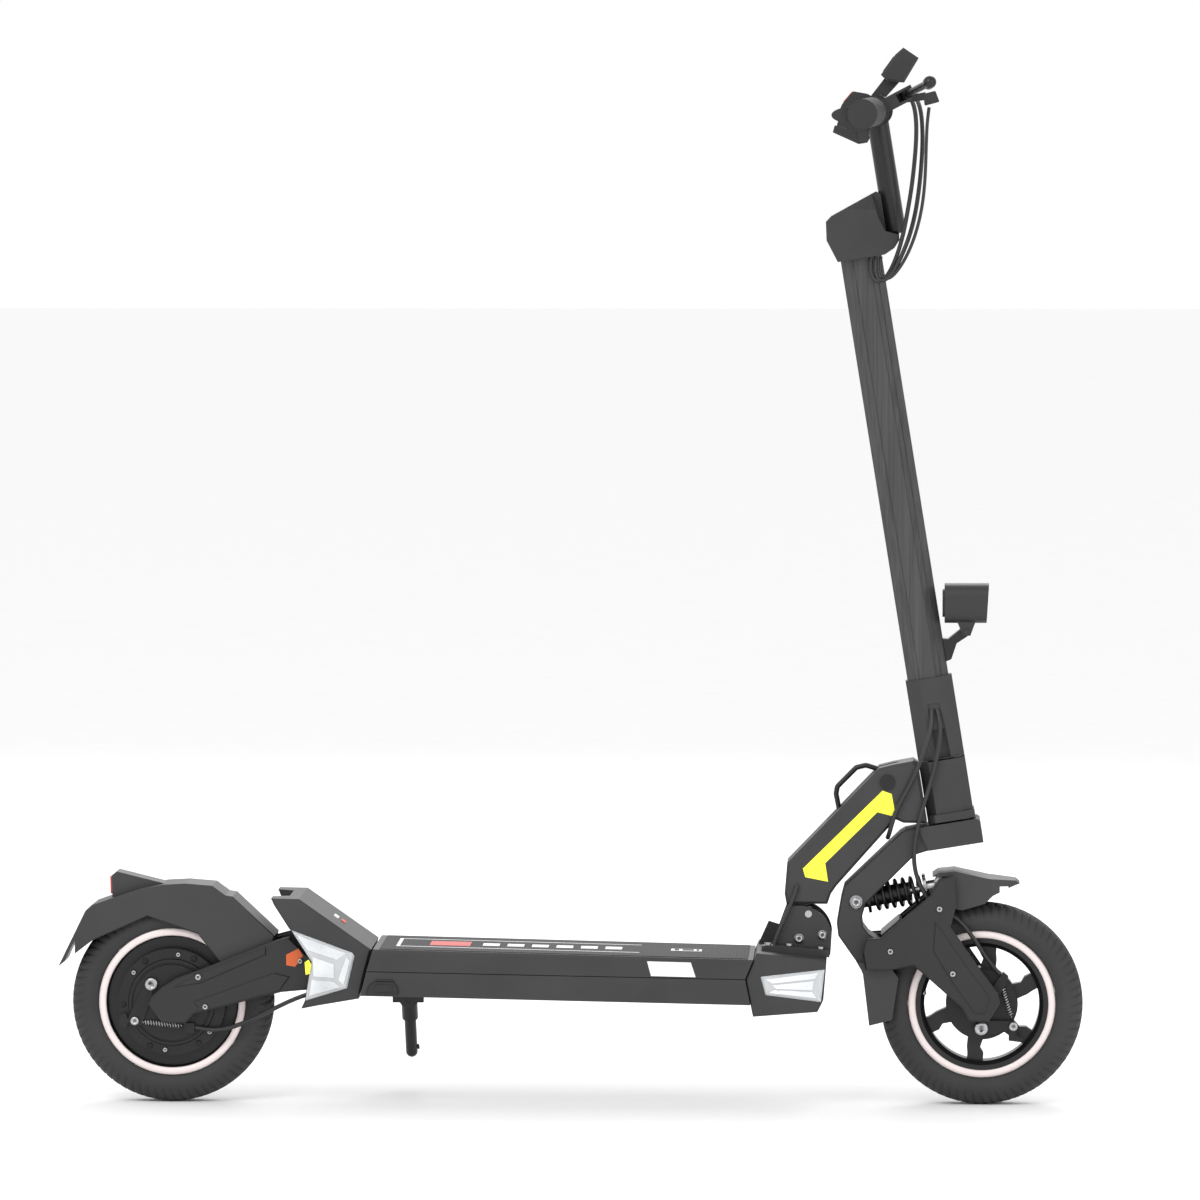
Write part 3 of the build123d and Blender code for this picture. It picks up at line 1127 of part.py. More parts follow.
NECK_LEAD = [
    (411.6, -26.9, 452.0), (412.2, -31.5, 442), (410.8, -35.8, 430), (407.0, -38.5, 416),
    (401.5, -39.5, 399), (394.0, -39, 381), (385.0, -38.6, 363), (376.5, -38.5, 347),
    (370.0, -38.4, 333), (366.0, -38.0, 320.0), (363.5, -33.5, 310.0), (362.0, -25.0, 305.5)]
DECK_LEAD = [
    (259.5, -36.7, 252.0), (257.0, -38.4, 243), (252.8, -39.7, 232), (248.0, -40.5, 221),
    (243.2, -41, 210), (238.8, -41.2, 199.5), (235.4, -41.2, 191), (233.8, -41.2, 184.6)]
with BuildPart() as wiring_leads:
    add(cable(NECK_LEAD, 2.6))
    add(cable(DECK_LEAD, 2.2))
save(wiring_leads, "wiring_leads")

FRONT_BRAKE_CABLE = [
    (417.6, -26.6, 452.0), (420.3, -31.2, 441), (421.3, -34, 427), (419.5, -35.3, 409),
    (415.5, -36, 388), (409.5, -37.5, 366), (403.0, -39.5, 345), (397.0, -40.5, 324),
    (393.0, -40.0, 303), (391.5, -37, 284), (393.5, -34.2, 266.5), (399.5, -33.4, 250),
    (408.0, -33.2, 236.0), (418.5, -33, 226.5), (430.0, -32.8, 220.5), (442.0, -32.5, 213),
    (452.5, -32.2, 201.5), (462.0, -31.8, 188), (471.5, -31, 173), (481.3, -28.5, 159.5),
    (489.0, -25.5, 150.5)]
with BuildPart() as front_brake_cable:
    add(cable(FRONT_BRAKE_CABLE))
save(front_brake_cable, "front_brake_cable")

REAR_BRAKE_CABLE = [
    (-427.3, -35.5, 87.0), (-414.5, -35.8, 84.5), (-399, -36.8, 84), (-382, -39.6, 88.5),
    (-364, -44, 96), (-346, -49.5, 105), (-328, -53.8, 114.5), (-309.5, -56, 123),
    (-291, -56.5, 129.5), (-273, -56, 134), (-259.5, -55.5, 136.5), (-248.3, -55, 137.5)]
with BuildPart() as rear_brake_cable:
    add(cable(REAR_BRAKE_CABLE))
save(rear_brake_cable, "rear_brake_cable")
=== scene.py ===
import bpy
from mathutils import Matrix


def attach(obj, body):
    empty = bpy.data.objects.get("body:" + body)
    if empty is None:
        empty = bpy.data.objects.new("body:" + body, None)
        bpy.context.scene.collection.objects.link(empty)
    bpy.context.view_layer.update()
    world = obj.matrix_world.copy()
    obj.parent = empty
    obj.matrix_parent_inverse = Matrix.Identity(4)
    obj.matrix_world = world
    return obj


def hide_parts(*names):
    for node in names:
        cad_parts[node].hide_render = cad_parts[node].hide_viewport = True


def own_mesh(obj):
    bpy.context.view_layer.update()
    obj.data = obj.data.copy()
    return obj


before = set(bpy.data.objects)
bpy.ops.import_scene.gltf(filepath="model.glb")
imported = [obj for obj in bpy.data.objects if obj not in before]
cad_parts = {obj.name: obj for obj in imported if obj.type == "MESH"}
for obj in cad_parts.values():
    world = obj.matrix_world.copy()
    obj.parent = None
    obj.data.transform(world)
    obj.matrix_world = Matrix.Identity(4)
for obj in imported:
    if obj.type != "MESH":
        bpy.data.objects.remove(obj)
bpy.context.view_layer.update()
import math
import bpy
from mathutils import Vector

SIDES = ((-1, "right"), (1, "left"))

# ---------------------------------------------------------------- camera and light, in metres
CAMERA_PLACE = Vector((0.3756, -10.0, 1.1327))
CAMERA_TARGET = Vector((0.0336, 0, 0.5741))
SENSOR_MM, LENS_MM = 36, 263.7

scene = bpy.context.scene


def aim(obj, place, target):
    """Puts a camera or a light at place, facing target."""
    obj.location = place
    obj.rotation_euler = (target - place).to_track_quat("-Z", "Y").to_euler()


cam_data = bpy.data.cameras.new("camera")
cam_data.sensor_width = SENSOR_MM
cam_data.lens = LENS_MM
cam_data.clip_end = 60
camera = bpy.data.objects.new("camera", cam_data)
scene.collection.objects.link(camera)
aim(camera, CAMERA_PLACE, CAMERA_TARGET)
scene.camera = camera

world = bpy.data.worlds.new("studio")
scene.world = world
world.use_nodes = True
backdrop = world.node_tree.nodes["Background"]
backdrop.inputs["Color"].default_value = (1, 1, 1, 1)
backdrop.inputs["Strength"].default_value = 1.0
scene.view_settings.view_transform = "Standard"


def area_light(name, place, target, size, power):
    data = bpy.data.lights.new(name, "AREA")
    data.size, data.energy = size, power
    light = bpy.data.objects.new(name, data)
    scene.collection.objects.link(light)
    aim(light, Vector(place), Vector(target))


area_light("key", (-1.6, -3.2, 3.4), (0, 0, 0.4), 2.2, 75)
area_light("fill", (2.8, -3.0, 1.8), (0.2, 0, 0.5), 2.4, 30)
area_light("back", (0.3, 3.2, 3.0), (0, 0, 0.5), 2.4, 60)


# ---------------------------------------------------------------- materials
TONE_SCALE, TONE_DETAIL, GRAIN_DETAIL = 14, 5, 3
GLOSS_SPREAD = 0.07
BUMP_DEPTH = 0.001


def noise(tree, where, name, scale, detail):
    node = tree.nodes.new("ShaderNodeTexNoise")
    node.name = name
    node.inputs["Scale"].default_value = scale
    node.inputs["Detail"].default_value = detail
    tree.links.new(where.outputs["Object"], node.inputs["Vector"])
    return node


def relief(tree, name, height, strength):
    node = tree.nodes.new("ShaderNodeBump")
    node.name = name
    node.inputs["Strength"].default_value = strength
    node.inputs["Distance"].default_value = BUMP_DEPTH
    tree.links.new(height, node.inputs["Height"])
    tree.links.new(node.outputs["Normal"], tree.nodes["Principled BSDF"].inputs["Normal"])
    return node


def material(name, color, rough, metal=0.0, grain=900.0, bump=0.06, vary=0.12, coat=0.0):
    """A coated, cast or moulded surface: a fine grain in the bump, and a slow drift of tone."""
    look = bpy.data.materials.new(name)
    look.use_nodes = True
    tree = look.node_tree
    shader = tree.nodes["Principled BSDF"]
    shader.inputs["Metallic"].default_value = metal
    shader.inputs["Coat Weight"].default_value = coat
    where = tree.nodes.new("ShaderNodeTexCoord")
    where.name = "where"
    drift = noise(tree, where, "drift", TONE_SCALE, TONE_DETAIL)
    fine = noise(tree, where, "fine", grain, GRAIN_DETAIL)

    tone = tree.nodes.new("ShaderNodeValToRGB")
    dark, light = tone.color_ramp.elements
    dark.position, light.position = 0.3, 0.7
    dark.color = (*[c * (1 - vary) for c in color], 1)
    light.color = (*[min(1, c * (1 + vary)) for c in color], 1)
    tree.links.new(drift.outputs["Fac"], tone.inputs["Fac"])
    tree.links.new(tone.outputs["Color"], shader.inputs["Base Color"])

    gloss = tree.nodes.new("ShaderNodeMapRange")
    gloss.inputs["To Min"].default_value = max(0.03, rough - GLOSS_SPREAD)
    gloss.inputs["To Max"].default_value = min(1, rough + GLOSS_SPREAD)
    tree.links.new(fine.outputs["Fac"], gloss.inputs["Value"])
    tree.links.new(gloss.outputs["Result"], shader.inputs["Roughness"])
    relief(tree, "grain relief", fine.outputs["Fac"], bump)
    return look


# name, colour, roughness, metal, grain, bump, drift of tone, clear coat
CHARCOAL = material("charcoal_coat", (0.034, 0.034, 0.035), 0.5, 0.3, 1500, 0.10)
STEM = material("stem_brushed", (0.060, 0.060, 0.061), 0.42, 0.5, 1500, 0.14, 0.25)
CAST = material("charcoal_cast", (0.030, 0.030, 0.031), 0.5, 0.3, 700, 0.16)
ARM = material("arm_cover", (0.016, 0.016, 0.017), 0.4, 0.2, 1300, 0.10)
BLACK = material("black_satin", (0.009, 0.009, 0.010), 0.36, 0.2, 1200, 0.06)
PLASTIC = material("black_plastic", (0.014, 0.014, 0.015), 0.5, 0, 1600, 0.14)
FENDER = material("fender_plastic", (0.024, 0.024, 0.025), 0.44, 0, 1600, 0.12)
RUBBER = material("rubber", (0.012, 0.012, 0.013), 0.68, 0, 800, 0.12)
TYRE = material("tyre_rubber", (0.022, 0.022, 0.023), 0.7, 0, 650, 0.16, 0.2)
MAT = material("mat_rubber", (0.028, 0.028, 0.030), 0.75, 0, 1100, 0.3)
STEEL = material("zinc_steel", (0.42, 0.42, 0.43), 0.3, 1.0, 1100, 0.06)
DARK_STEEL = material("dark_steel", (0.016, 0.016, 0.017), 0.34, 0.5, 1100, 0.08)
RIM_PLATE = material("brake_plate", (0.012, 0.012, 0.013), 0.4, 0.4, 1100, 0.10)
MOTOR = material("motor_cast", (0.020, 0.020, 0.021), 0.38, 0.6, 900, 0.14)
RIM = material("rim_black", (0.011, 0.011, 0.012), 0.36, 0.3, 1100, 0.08)
RING = material("rim_ring", (0.78, 0.69, 0.68), 0.38, 0.05, 900, 0.03, 0.04)
YELLOW = material("sticker_yellow", (1.0, 0.98, 0.05), 0.4, 0, 700, 0.03, 0.02)
WHITE = material("print_white", (0.82, 0.82, 0.82), 0.5, 0, 700, 0.04, 0.05)
RED = material("print_red", (0.55, 0.020, 0.016), 0.42, 0, 700, 0.05, 0.08)
ORANGE = material("mark_orange", (0.62, 0.11, 0.02), 0.45, 0, 700, 0.05, 0.08)
REFLECT = material("reflector_plate", (0.66, 0.68, 0.70), 0.3, 0.3, 260, 0.5, 0.25)
SCREEN = material("screen_glass", (0.010, 0.011, 0.013), 0.08, 0, 500, 0.01, 0.2, 0.6)
BUTTON = material("button_red", (0.42, 0.030, 0.022), 0.35, 0, 900, 0.05)
CABLE = material("cable_jacket", (0.014, 0.014, 0.015), 0.48, 0, 1300, 0.08)

LENS = material("clear_lens", (0.93, 0.95, 0.97), 0.12, 0, 300, 0.15, 0.03)
TAIL = material("tail_lens", (0.60, 0.012, 0.010), 0.14, 0, 300, 0.1, 0.08, 0.5)
FLOOR = material("pale_floor", (0.94, 0.94, 0.94), 0.8, 0, 300, 0.0, 0.01)
for clear, share in ((LENS, 0.55), (TAIL, 0.25)):
    clear.node_tree.nodes["Principled BSDF"].inputs["Transmission Weight"].default_value = share
LENS.node_tree.nodes["Principled BSDF"].inputs["IOR"].default_value = 1.45


def add_ribs(look, direction, scale, strength=0.5):
    """Ribs in the bump, over the grain that the material has already."""
    tree = look.node_tree
    wave = tree.nodes.new("ShaderNodeTexWave")
    wave.bands_direction = direction
    wave.inputs["Scale"].default_value = scale
    tree.links.new(tree.nodes["where"].outputs["Object"], wave.inputs["Vector"])
    ribs = relief(tree, "rib relief", wave.outputs["Fac"], strength)
    tree.links.new(tree.nodes["grain relief"].outputs["Normal"], ribs.inputs["Normal"])


def brush(look, lean_degrees, stretch, scale):
    """Draws the noise out into long fine lines that lean with the stem."""
    tree = look.node_tree
    squeeze = tree.nodes.new("ShaderNodeMapping")
    squeeze.inputs["Rotation"].default_value = (0, math.radians(lean_degrees), 0)
    squeeze.inputs["Scale"].default_value = (1.0, 1.0, stretch)
    tree.links.new(tree.nodes["where"].outputs["Object"], squeeze.inputs["Vector"])
    for name in ("drift", "fine"):
        tree.links.new(squeeze.outputs["Vector"], tree.nodes[name].inputs["Vector"])
    tree.nodes["drift"].inputs["Scale"].default_value = scale


# ribs across the grip mat, and across the grips and the charge cap, which share a rubber
MAT_RIB_SCALE, RUBBER_RIB_SCALE = 620 / 6.28, 900 / 6.28
STEM_LEAN_DEGREES, BRUSH_STRETCH, BRUSH_SCALE = 9.15, 0.02, 260
add_ribs(MAT, "X", MAT_RIB_SCALE)
add_ribs(RUBBER, "Y", RUBBER_RIB_SCALE)
brush(STEM, STEM_LEAN_DEGREES, BRUSH_STRETCH, BRUSH_SCALE)

LOOKS = {
    CHARCOAL: ["deck_cover", "deck_tray", "front_box", "neck", "head_block", "sleeve",
               "rear_housing", "front_frame"],
    STEM: ["stem_tube"],
    CAST: ["stem_head", "hinge_plates"],
    ARM: ["front_arm", "rear_arm", "front_arm_covers", "rear_arm_covers"],
    BLACK: ["handlebar", "kickstand", "kickstand_bracket", "shock_body", "headlight_bracket",
            "brake_lever_left", "brake_lever_right", "latch_loop"],
    PLASTIC: ["bar_controls", "throttle_lever", "display", "headlight", "controller",
              "battery_pack"],
    FENDER: ["front_fender", "rear_fender"],
    RUBBER: ["grips", "charge_cap"],
    MAT: ["grip_mat"],
    STEEL: ["front_axle", "rear_axle", "frame_bolts", "suspension_bolts", "front_bearings",
            "rear_bearings", "head_bearings", "shock_rod"],
    DARK_STEEL: ["latch_pin", "front_brake_cam", "rear_brake_cam"],
    RIM_PLATE: ["front_brake_plate", "rear_brake_plate"],
    MOTOR: ["motor_covers", "motor_stator"],
    RIM: ["front_rim", "rear_rim"],
    LENS: ["signal_lenses"],
    BUTTON: ["mode_button"],
}
for look, names in LOOKS.items():
    for node in names:
        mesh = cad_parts[node].data
        mesh.materials.clear()
        mesh.materials.append(look)

# ---------------------------------------------------------------- floor, in metres
FLOOR_HALF, FLOOR_DROP = 40, 0.0005
floor_mesh = bpy.data.meshes.new("floor")
floor_mesh.from_pydata([(x * FLOOR_HALF, y * FLOOR_HALF, -FLOOR_DROP)
                        for x, y in ((-1, -1), (1, -1), (1, 1), (-1, 1))],
                       [], [(0, 1, 2, 3)])
floor_mesh.materials.append(FLOOR)
floor = bpy.data.objects.new("floor", floor_mesh)
scene.collection.objects.link(floor)


# ---------------------------------------------------------------- mesh helpers, in millimetres
def piece(name, verts, faces, look, body, smooth=False):
    mesh = bpy.data.meshes.new(name)
    mesh.from_pydata([tuple(c / 1000 for c in v) for v in verts], [], faces)
    mesh.validate()
    mesh.materials.append(look)
    obj = bpy.data.objects.new(name, mesh)
    scene.collection.objects.link(obj)
    for poly in mesh.polygons:
        poly.use_smooth = smooth
    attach(obj, body)
    return obj


def block_faces(n):
    """Faces of a solid between two outlines of n points."""
    walls = [(i, i + n, (i + 1) % n + n, (i + 1) % n) for i in range(n)]
    return [tuple(range(n)), tuple(reversed(range(n, 2 * n)))] + walls


def loop_faces(rows, columns, closed):
    """Quads between rows of points. Each row is a loop, and closed joins the last to the first."""
    faces = []
    for i in range(rows if closed else rows - 1):
        here, there = i * columns, (i + 1) % rows * columns
        for j in range(columns):
            k = (j + 1) % columns
            faces.append((here + j, here + k, there + k, there + j))
    return faces


def prism(name, outline, y_low, y_high, look, body):
    """A side outline (x, z) with straight walls from y_low to y_high."""
    area = sum(a[0] * b[1] - b[0] * a[1] for a, b in zip(outline, outline[1:] + outline[:1]))
    if area < 0:
        outline = outline[::-1]
    verts = [(x, y, z) for y in (y_low, y_high) for x, z in outline]
    piece(name, verts, block_faces(len(outline)), look, body)


def side_prism(name, outline, side, inner, outer, look, body):
    """A prism on one side of the scooter, between two distances from its middle."""
    low, high = sorted((inner * side, outer * side))
    prism(name, outline, low, high, look, body)


def lathe(name, profile, centre, look, body, steps=128, push=None):
    """A closed profile of (y, r) turned about an axle at centre (x, z)."""
    verts = []
    for i in range(steps):
        a = 2 * math.pi * i / steps
        for y, r in profile:
            pushed = r + (push(i, y, r) if push else 0)
            verts.append((centre[0] + pushed * math.cos(a), y, centre[1] + pushed * math.sin(a)))
    faces = loop_faces(steps, len(profile), True)
    return piece(name, verts, faces, look, body, smooth=True)


def coil(name, start, axis, side, turns, steps, wire_r, ring, place, look, body, capped):
    """A wire wound about axis. place(t) gives its distance along the axis and its radius."""
    other = axis.cross(side)
    verts = []
    for i in range(steps + 1):
        along, radius = place(i / steps)
        a = 2 * math.pi * turns * i / steps
        radial = side * math.cos(a) + other * math.sin(a)
        middle = start + axis * along + radial * radius
        for j in range(ring):
            b = 2 * math.pi * j / ring
            verts.append(middle + radial * (wire_r * math.cos(b)) + axis * (wire_r * math.sin(b)))
    faces = loop_faces(steps + 1, ring, False)
    if capped:
        faces += [tuple(reversed(range(ring))), tuple(steps * ring + j for j in range(ring))]
    return piece(name, verts, faces, look, body, smooth=True)


# wheel centres (x, z), in the side view
FRONT, REAR = (469.5, 115.0), (-454.5, 115.0)

# ---------------------------------------------------------------- tyres with a cut tread
TREAD_STEPS, TREAD_PITCH, TREAD_GROOVE, TREAD_CUT = 576, 8, 2, 2.2
TREAD_LEAN = 2.4
SHOULDER_R, SHOULDER_Y = 101, 7
HALF = [(0.0, 115.0), (3.2, 115.0), (4.0, 113.4), (5.6, 113.4), (6.4, 115.0), (10.0, 114.9),
        (14.0, 114.0), (17.5, 112.4), (20.5, 110.2), (23.2, 107.2), (25.3, 103.6), (26.7, 99.4),
        (27.3, 95.0), (26.9, 91.0), (25.2, 87.6), (25.0, 86.4), (22.4, 84.4), (19.0, 84.2)]
SECTION = [(-y, r) for y, r in reversed(HALF[1:])] + HALF
RIM_RING = [(0, 75.6), (1.3, 76.6), (1.7, 80.0), (1.3, 83.2), (0, 84.0), (-3, 84.0), (-3, 75.6)]


def tread(i, y, r):
    """Blocks cut across both shoulders, staggered in a chevron."""
    if r < SHOULDER_R or abs(y) < SHOULDER_Y:
        return 0
    step = (i + int(abs(y) / TREAD_LEAN)) % TREAD_PITCH
    return -TREAD_CUT if step < TREAD_GROOVE else 0


for name, centre, body, ring_y in (("front", FRONT, "front_wheel", 20.0),
                                   ("rear", REAR, "rear_wheel", 21.5)):
    tyre = lathe(name + "_tread_tyre", SECTION, centre, TYRE, body, TREAD_STEPS, tread)
    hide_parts(name + "_tyre")
    for side, tag in SIDES:
        lathe(f"{name}_rim_ring_{tag[0]}", [((ring_y + out) * side, r) for out, r in RIM_RING],
              centre, RING, body, 160)

# ---------------------------------------------------------------- coil of the front shock
SHOCK_FROM, SHOCK_TO = Vector((326.4, 0, 232.1)), Vector((424.0, 0, 249.0))
SHOCK_DIR = (SHOCK_TO - SHOCK_FROM).normalized()
SIDE_DIR = Vector((0, 1, 0))
UP_DIR = SHOCK_DIR.cross(SIDE_DIR)
COIL_START, COIL_LENGTH, COIL_R = 17.7, 58.0, 14.8

shock_coil = coil("shock_coil", SHOCK_FROM, SHOCK_DIR, SIDE_DIR, turns=6.5, steps=260,
                  wire_r=2.1, ring=10, place=lambda t: (COIL_START + COIL_LENGTH * t, COIL_R),
                  look=BLACK, body="shock_body", capped=True)
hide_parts("shock_spring")
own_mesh(shock_coil)


def brake_spring(name, start, end, coil_r, turns, body):
    """A return spring between two points, drawn in to a single wire at both ends."""
    start, end = Vector(start), Vector(end)
    axis = (end - start).normalized()
    length = (end - start).length

    def place(t):
        return length * t, coil_r * min(1, 10 * t, 10 * (1 - t))

    coil(name, start, axis, axis.orthogonal().normalized(), turns, steps=turns * 14, wire_r=0.6,
         ring=6, place=place, look=STEEL, body=body, capped=False)


brake_spring("front_brake_spring", (492.2, -25, 137.7), (503, -25, 100.8), 2.7, 13, "front_arm")
brake_spring("rear_brake_spring", (-488, -35, 93.0), (-441, -35, 88.5), 3.2, 15, "rear_arm")

# knurled preload ring near the front of the shock: distance along the shock, radius
KNURLS, KNURL_CUT = 72, 0.7
PRELOAD_RING = [(77.9, 12.0), (77.9, 16.6), (78.6, 17.4), (81.0, 17.4), (81.7, 16.6), (81.7, 12.0)]
verts = []
for i in range(KNURLS):
    a = 2 * math.pi * i / KNURLS
    radial = SIDE_DIR * math.cos(a) + UP_DIR * math.sin(a)
    for along, r in PRELOAD_RING:
        cut = KNURL_CUT if i % 3 == 0 and r > 16 else 0
        verts.append(SHOCK_FROM + SHOCK_DIR * along + radial * (r - cut))
piece("preload_ring", verts, loop_faces(KNURLS, len(PRELOAD_RING), True), STEEL, "shock_rod")

# ---------------------------------------------------------------- stickers and printed marks
STICKER = [(356, 359.6), (366.3, 355.9), (370.1, 336.1), (366.3, 330.8), (350.3, 335.2),
           (291, 276.8), (294.2, 255.7), (268.4, 260.8), (265.6, 270.5)]
for side, tag in SIDES:
    side_prism("neck_sticker_" + tag, STICKER, side, 34.0, 34.4, YELLOW, "neck")

# ends of the mat in the side view (x, z), and the lift of the marks printed on it
MAT_REAR, MAT_FRONT = (-221.2, 181.7), (210.0, 171.1)
MARK_LIFT, ICON_BAR_LIFT = 0.72, 0.95


def deck_top(x):
    slope = (MAT_FRONT[1] - MAT_REAR[1]) / (MAT_FRONT[0] - MAT_REAR[0])
    return MAT_REAR[1] + (x - MAT_REAR[0]) * slope


def on_deck(name, x0, x1, y0, y1, look, lift):
    """A thin printed mark on the mat."""
    low, high = lift - 0.2, lift + 0.25
    verts = [(x, y, deck_top(x) + h) for h in (low, high)
             for x, y in ((x0, y0), (x1, y0), (x1, y1), (x0, y1))]
    faces = [(3, 2, 1, 0), (4, 5, 6, 7), (0, 1, 5, 4), (1, 2, 6, 5), (2, 3, 7, 6), (3, 0, 4, 7)]
    piece(name, verts, faces, look, "deck")


for tag, x0, x1, y0, y1, look in (
        ("outline_right", -197, 80, -46, -43, WHITE), ("outline_left", -197, 80, 43, 46, WHITE),
        ("outline_rear", -197, -193, -43, 43, WHITE), ("block", -160, -114, -25, 25, RED),
        ("icon", 115, 150, -11, 11, WHITE)):
    on_deck("deck_" + tag, x0, x1, y0, y1, look, MARK_LIFT)
for i, x in enumerate((-100, -72, -44, -16, 12, 40)):
    on_deck(f"deck_dash_{i}", x, x + 19, -14, 14, WHITE, MARK_LIFT)
for i, (x, width) in enumerate(((119, 5), (128, 13), (144, 3))):
    on_deck(f"deck_icon_bar_{i}", x, x + width, -7, 7, MAT, ICON_BAR_LIFT)

# the white patch on the deck's right edge
prism("deck_side_patch", [(90, 169.5), (139.5, 168.3), (145, 151.6), (94.5, 152.8)],
      -90.3, -89.9, WHITE, "deck")


def on_slope(name, start, end, y0, y1, look, body, thick=0.5):
    """A thin plate on a sloping face, between two points of its side view."""
    (x0, z0), (x1, z1) = start, end
    size = math.dist(start, end)
    nx, nz = -(z1 - z0) / size * thick, (x1 - x0) / size * thick
    prism(name, [(x0, z0), (x1, z1), (x1 + nx, z1 + nz), (x0 + nx, z0 + nz)],
          y0, y1, look, body)


on_slope("kick_mark_white", (-270.5, 213.0), (-265.5, 209.5), -10, 10, WHITE, "deck", 0.8)
on_slope("kick_mark_red", (-262.5, 207.4), (-257.5, 203.9), -10, 10, RED, "deck", 0.8)
on_slope("display_screen", (355.2, 1175.4), (367.4, 1192.3), -34, 34, SCREEN, "steering",
         0.6)
on_slope("tail_lens", (-523.3, 238.0), (-523.8, 258.0), -16, 16, TAIL, "rear_arm", 2.0)

# a yellow signal lamp at the root of each rear arm, and an orange mark on the arm
SIGNAL_LAMP = [(-299, 166), (-294.5, 169), (-291.5, 163), (-293.5, 153), (-298, 152)]
ARM_MARK = [(-322, 172), (-308, 179), (-303, 171), (-312, 158), (-322, 160)]

# facets of the moulded reflectors behind the lenses, each a little prouder than the last
REAR_FACETS = [[(-308, 197), (-252, 176.5), (-262, 169), (-296, 180)],
               [(-252, 172), (-248, 168), (-255, 140), (-261, 146)],
               [(-290, 172), (-266, 164), (-266, 148), (-289, 150)],
               [(-291, 146), (-266, 144), (-259, 138), (-294, 128)]]
FRONT_FACETS = [[(224, 149), (284, 157), (280, 150), (232, 144.5)],
                [(232, 142.5), (279, 147.5), (277, 137), (236, 138.5)],
                [(228, 134), (282, 128), (277, 135), (234, 137)]]
FACET_STEP = 0.25

for side, tag in SIDES:
    side_prism("signal_lamp_" + tag, SIGNAL_LAMP, side, 79.0, 79.9, YELLOW, "deck")
    side_prism("arm_mark_" + tag, ARM_MARK, side, 50.45, 50.8, ORANGE, "rear_arm")
    for end, outlines, inner, outer in (("rear", REAR_FACETS, 78.9, 79.5),
                                        ("front", FRONT_FACETS, 88.4, 88.9)):
        for i, outline in enumerate(outlines):
            side_prism(f"{end}_facet_{i}_{tag}", outline, side, inner, outer + FACET_STEP * i,
                       REFLECT, "deck")


# ---------------------------------------------------------------- bolts
def bolt(name, x, z, y, radius, body, height=2.2):
    """A domed socket head that faces out from the middle of the scooter."""
    side = -1 if y < 0 else 1
    profile = [(0, radius), (height * 0.5, radius), (height * 0.85, radius * 0.8),
               (height, radius * 0.5), (height * 0.45, radius * 0.46), (height * 0.4, 0.05),
               (0, 0.05)]
    points = [(y + side * h, r) for h, r in profile]
    lathe(name, points if side > 0 else points[::-1], (x, z), STEEL, body, 24)


# name, x, z, distance from the middle, radius, body. Each is on both sides
BOLTS = [("front_arm_a", 420.9, 226.2, 51.9, 3.4, "front_arm"),
         ("front_arm_b", 436.1, 152.6, 53.7, 3.4, "front_arm"),
         ("front_arm_c", 365.3, 177.6, 51.9, 3.4, "front_arm"),
         ("rear_arm_a", -422.4, 146.1, 53.7, 3.6, "rear_arm"),
         ("rear_arm_b", -414.5, 112.2, 53.7, 3.2, "rear_arm"),
         ("rear_arm_c", -306.0, 164.6, 51.9, 3.2, "rear_arm"),
         ("shock_bolt", 326.4, 232.1, 35.4, 5.6, "steering"),
         ("fold_bolt", 261.3, 190.8, 38.2, 4.4, "deck"),
         ("plate_bolt", 287.9, 194.9, 38.2, 4.4, "deck")]
for name, x, z, y, radius, body in BOLTS:
    for side, tag in SIDES:
        bolt(f"{name}_{tag[0]}", x, z, y * side, radius, body)
bolt("front_cam_head", 468.7, 88.2, -33.0, 7.6, "front_brake_cam", 1.6)
bolt("front_cam_pin", 505.2, 90.6, -32.9, 5.0, "front_brake_cam", 1.2)
bolt("rear_cam_head", -477.2, 136.1, -37.3, 7.3, "rear_brake_cam", 1.4)
bolt("rear_cam_pin", -496.3, 94.2, -38.4, 4.8, "rear_brake_cam", 1.2)
MOTOR_BOLTS, MOTOR_BOLT_CIRCLE, MOTOR_BOLT_TURN = 6, 55, 22
for i in range(MOTOR_BOLTS):
    a = math.radians(360 / MOTOR_BOLTS * i + MOTOR_BOLT_TURN)
    bolt(f"motor_bolt_{i}", REAR[0] + MOTOR_BOLT_CIRCLE * math.cos(a),
         REAR[1] + MOTOR_BOLT_CIRCLE * math.sin(a), -31.3, 2.6, "rear_wheel", 1.2)

# the valve is turned about its own origin, then set on the front rim
VALVE = [(-4.5, 0.05), (-4.5, 2.6), (-1.5, 2.6), (-1.5, 3.4), (4.0, 3.4), (4.0, 2.2), (9.0, 2.2),
         (9.0, 0.05)]
VALVE_AT = Vector((FRONT[0] - 68.5, -12.0, FRONT[1] + 12.0))
valve = lathe("valve_stem", VALVE, (0, 0), STEEL, "front_wheel", 20)
valve.location = VALVE_AT / 1000
valve.rotation_euler = (0, 0, math.radians(62))

# ---------------------------------------------------------------- headlight glass
GLASS = [(-19, -8), (-19, 8), (-12, 17.5), (12, 17.5), (19, 8), (19, -8), (12, -17.5), (-12, -17.5)]
GLASS_Z, GLASS_BACK, GLASS_FRONT, GLASS_TAPER = 571.5, 468.3, 471.5, 0.93
verts = [(x, y * share, GLASS_Z + z * share)
         for x, share in ((GLASS_BACK, 1), (GLASS_FRONT, GLASS_TAPER)) for y, z in GLASS]
piece("headlight_glass", verts, block_faces(len(GLASS)), LENS, "headlight")


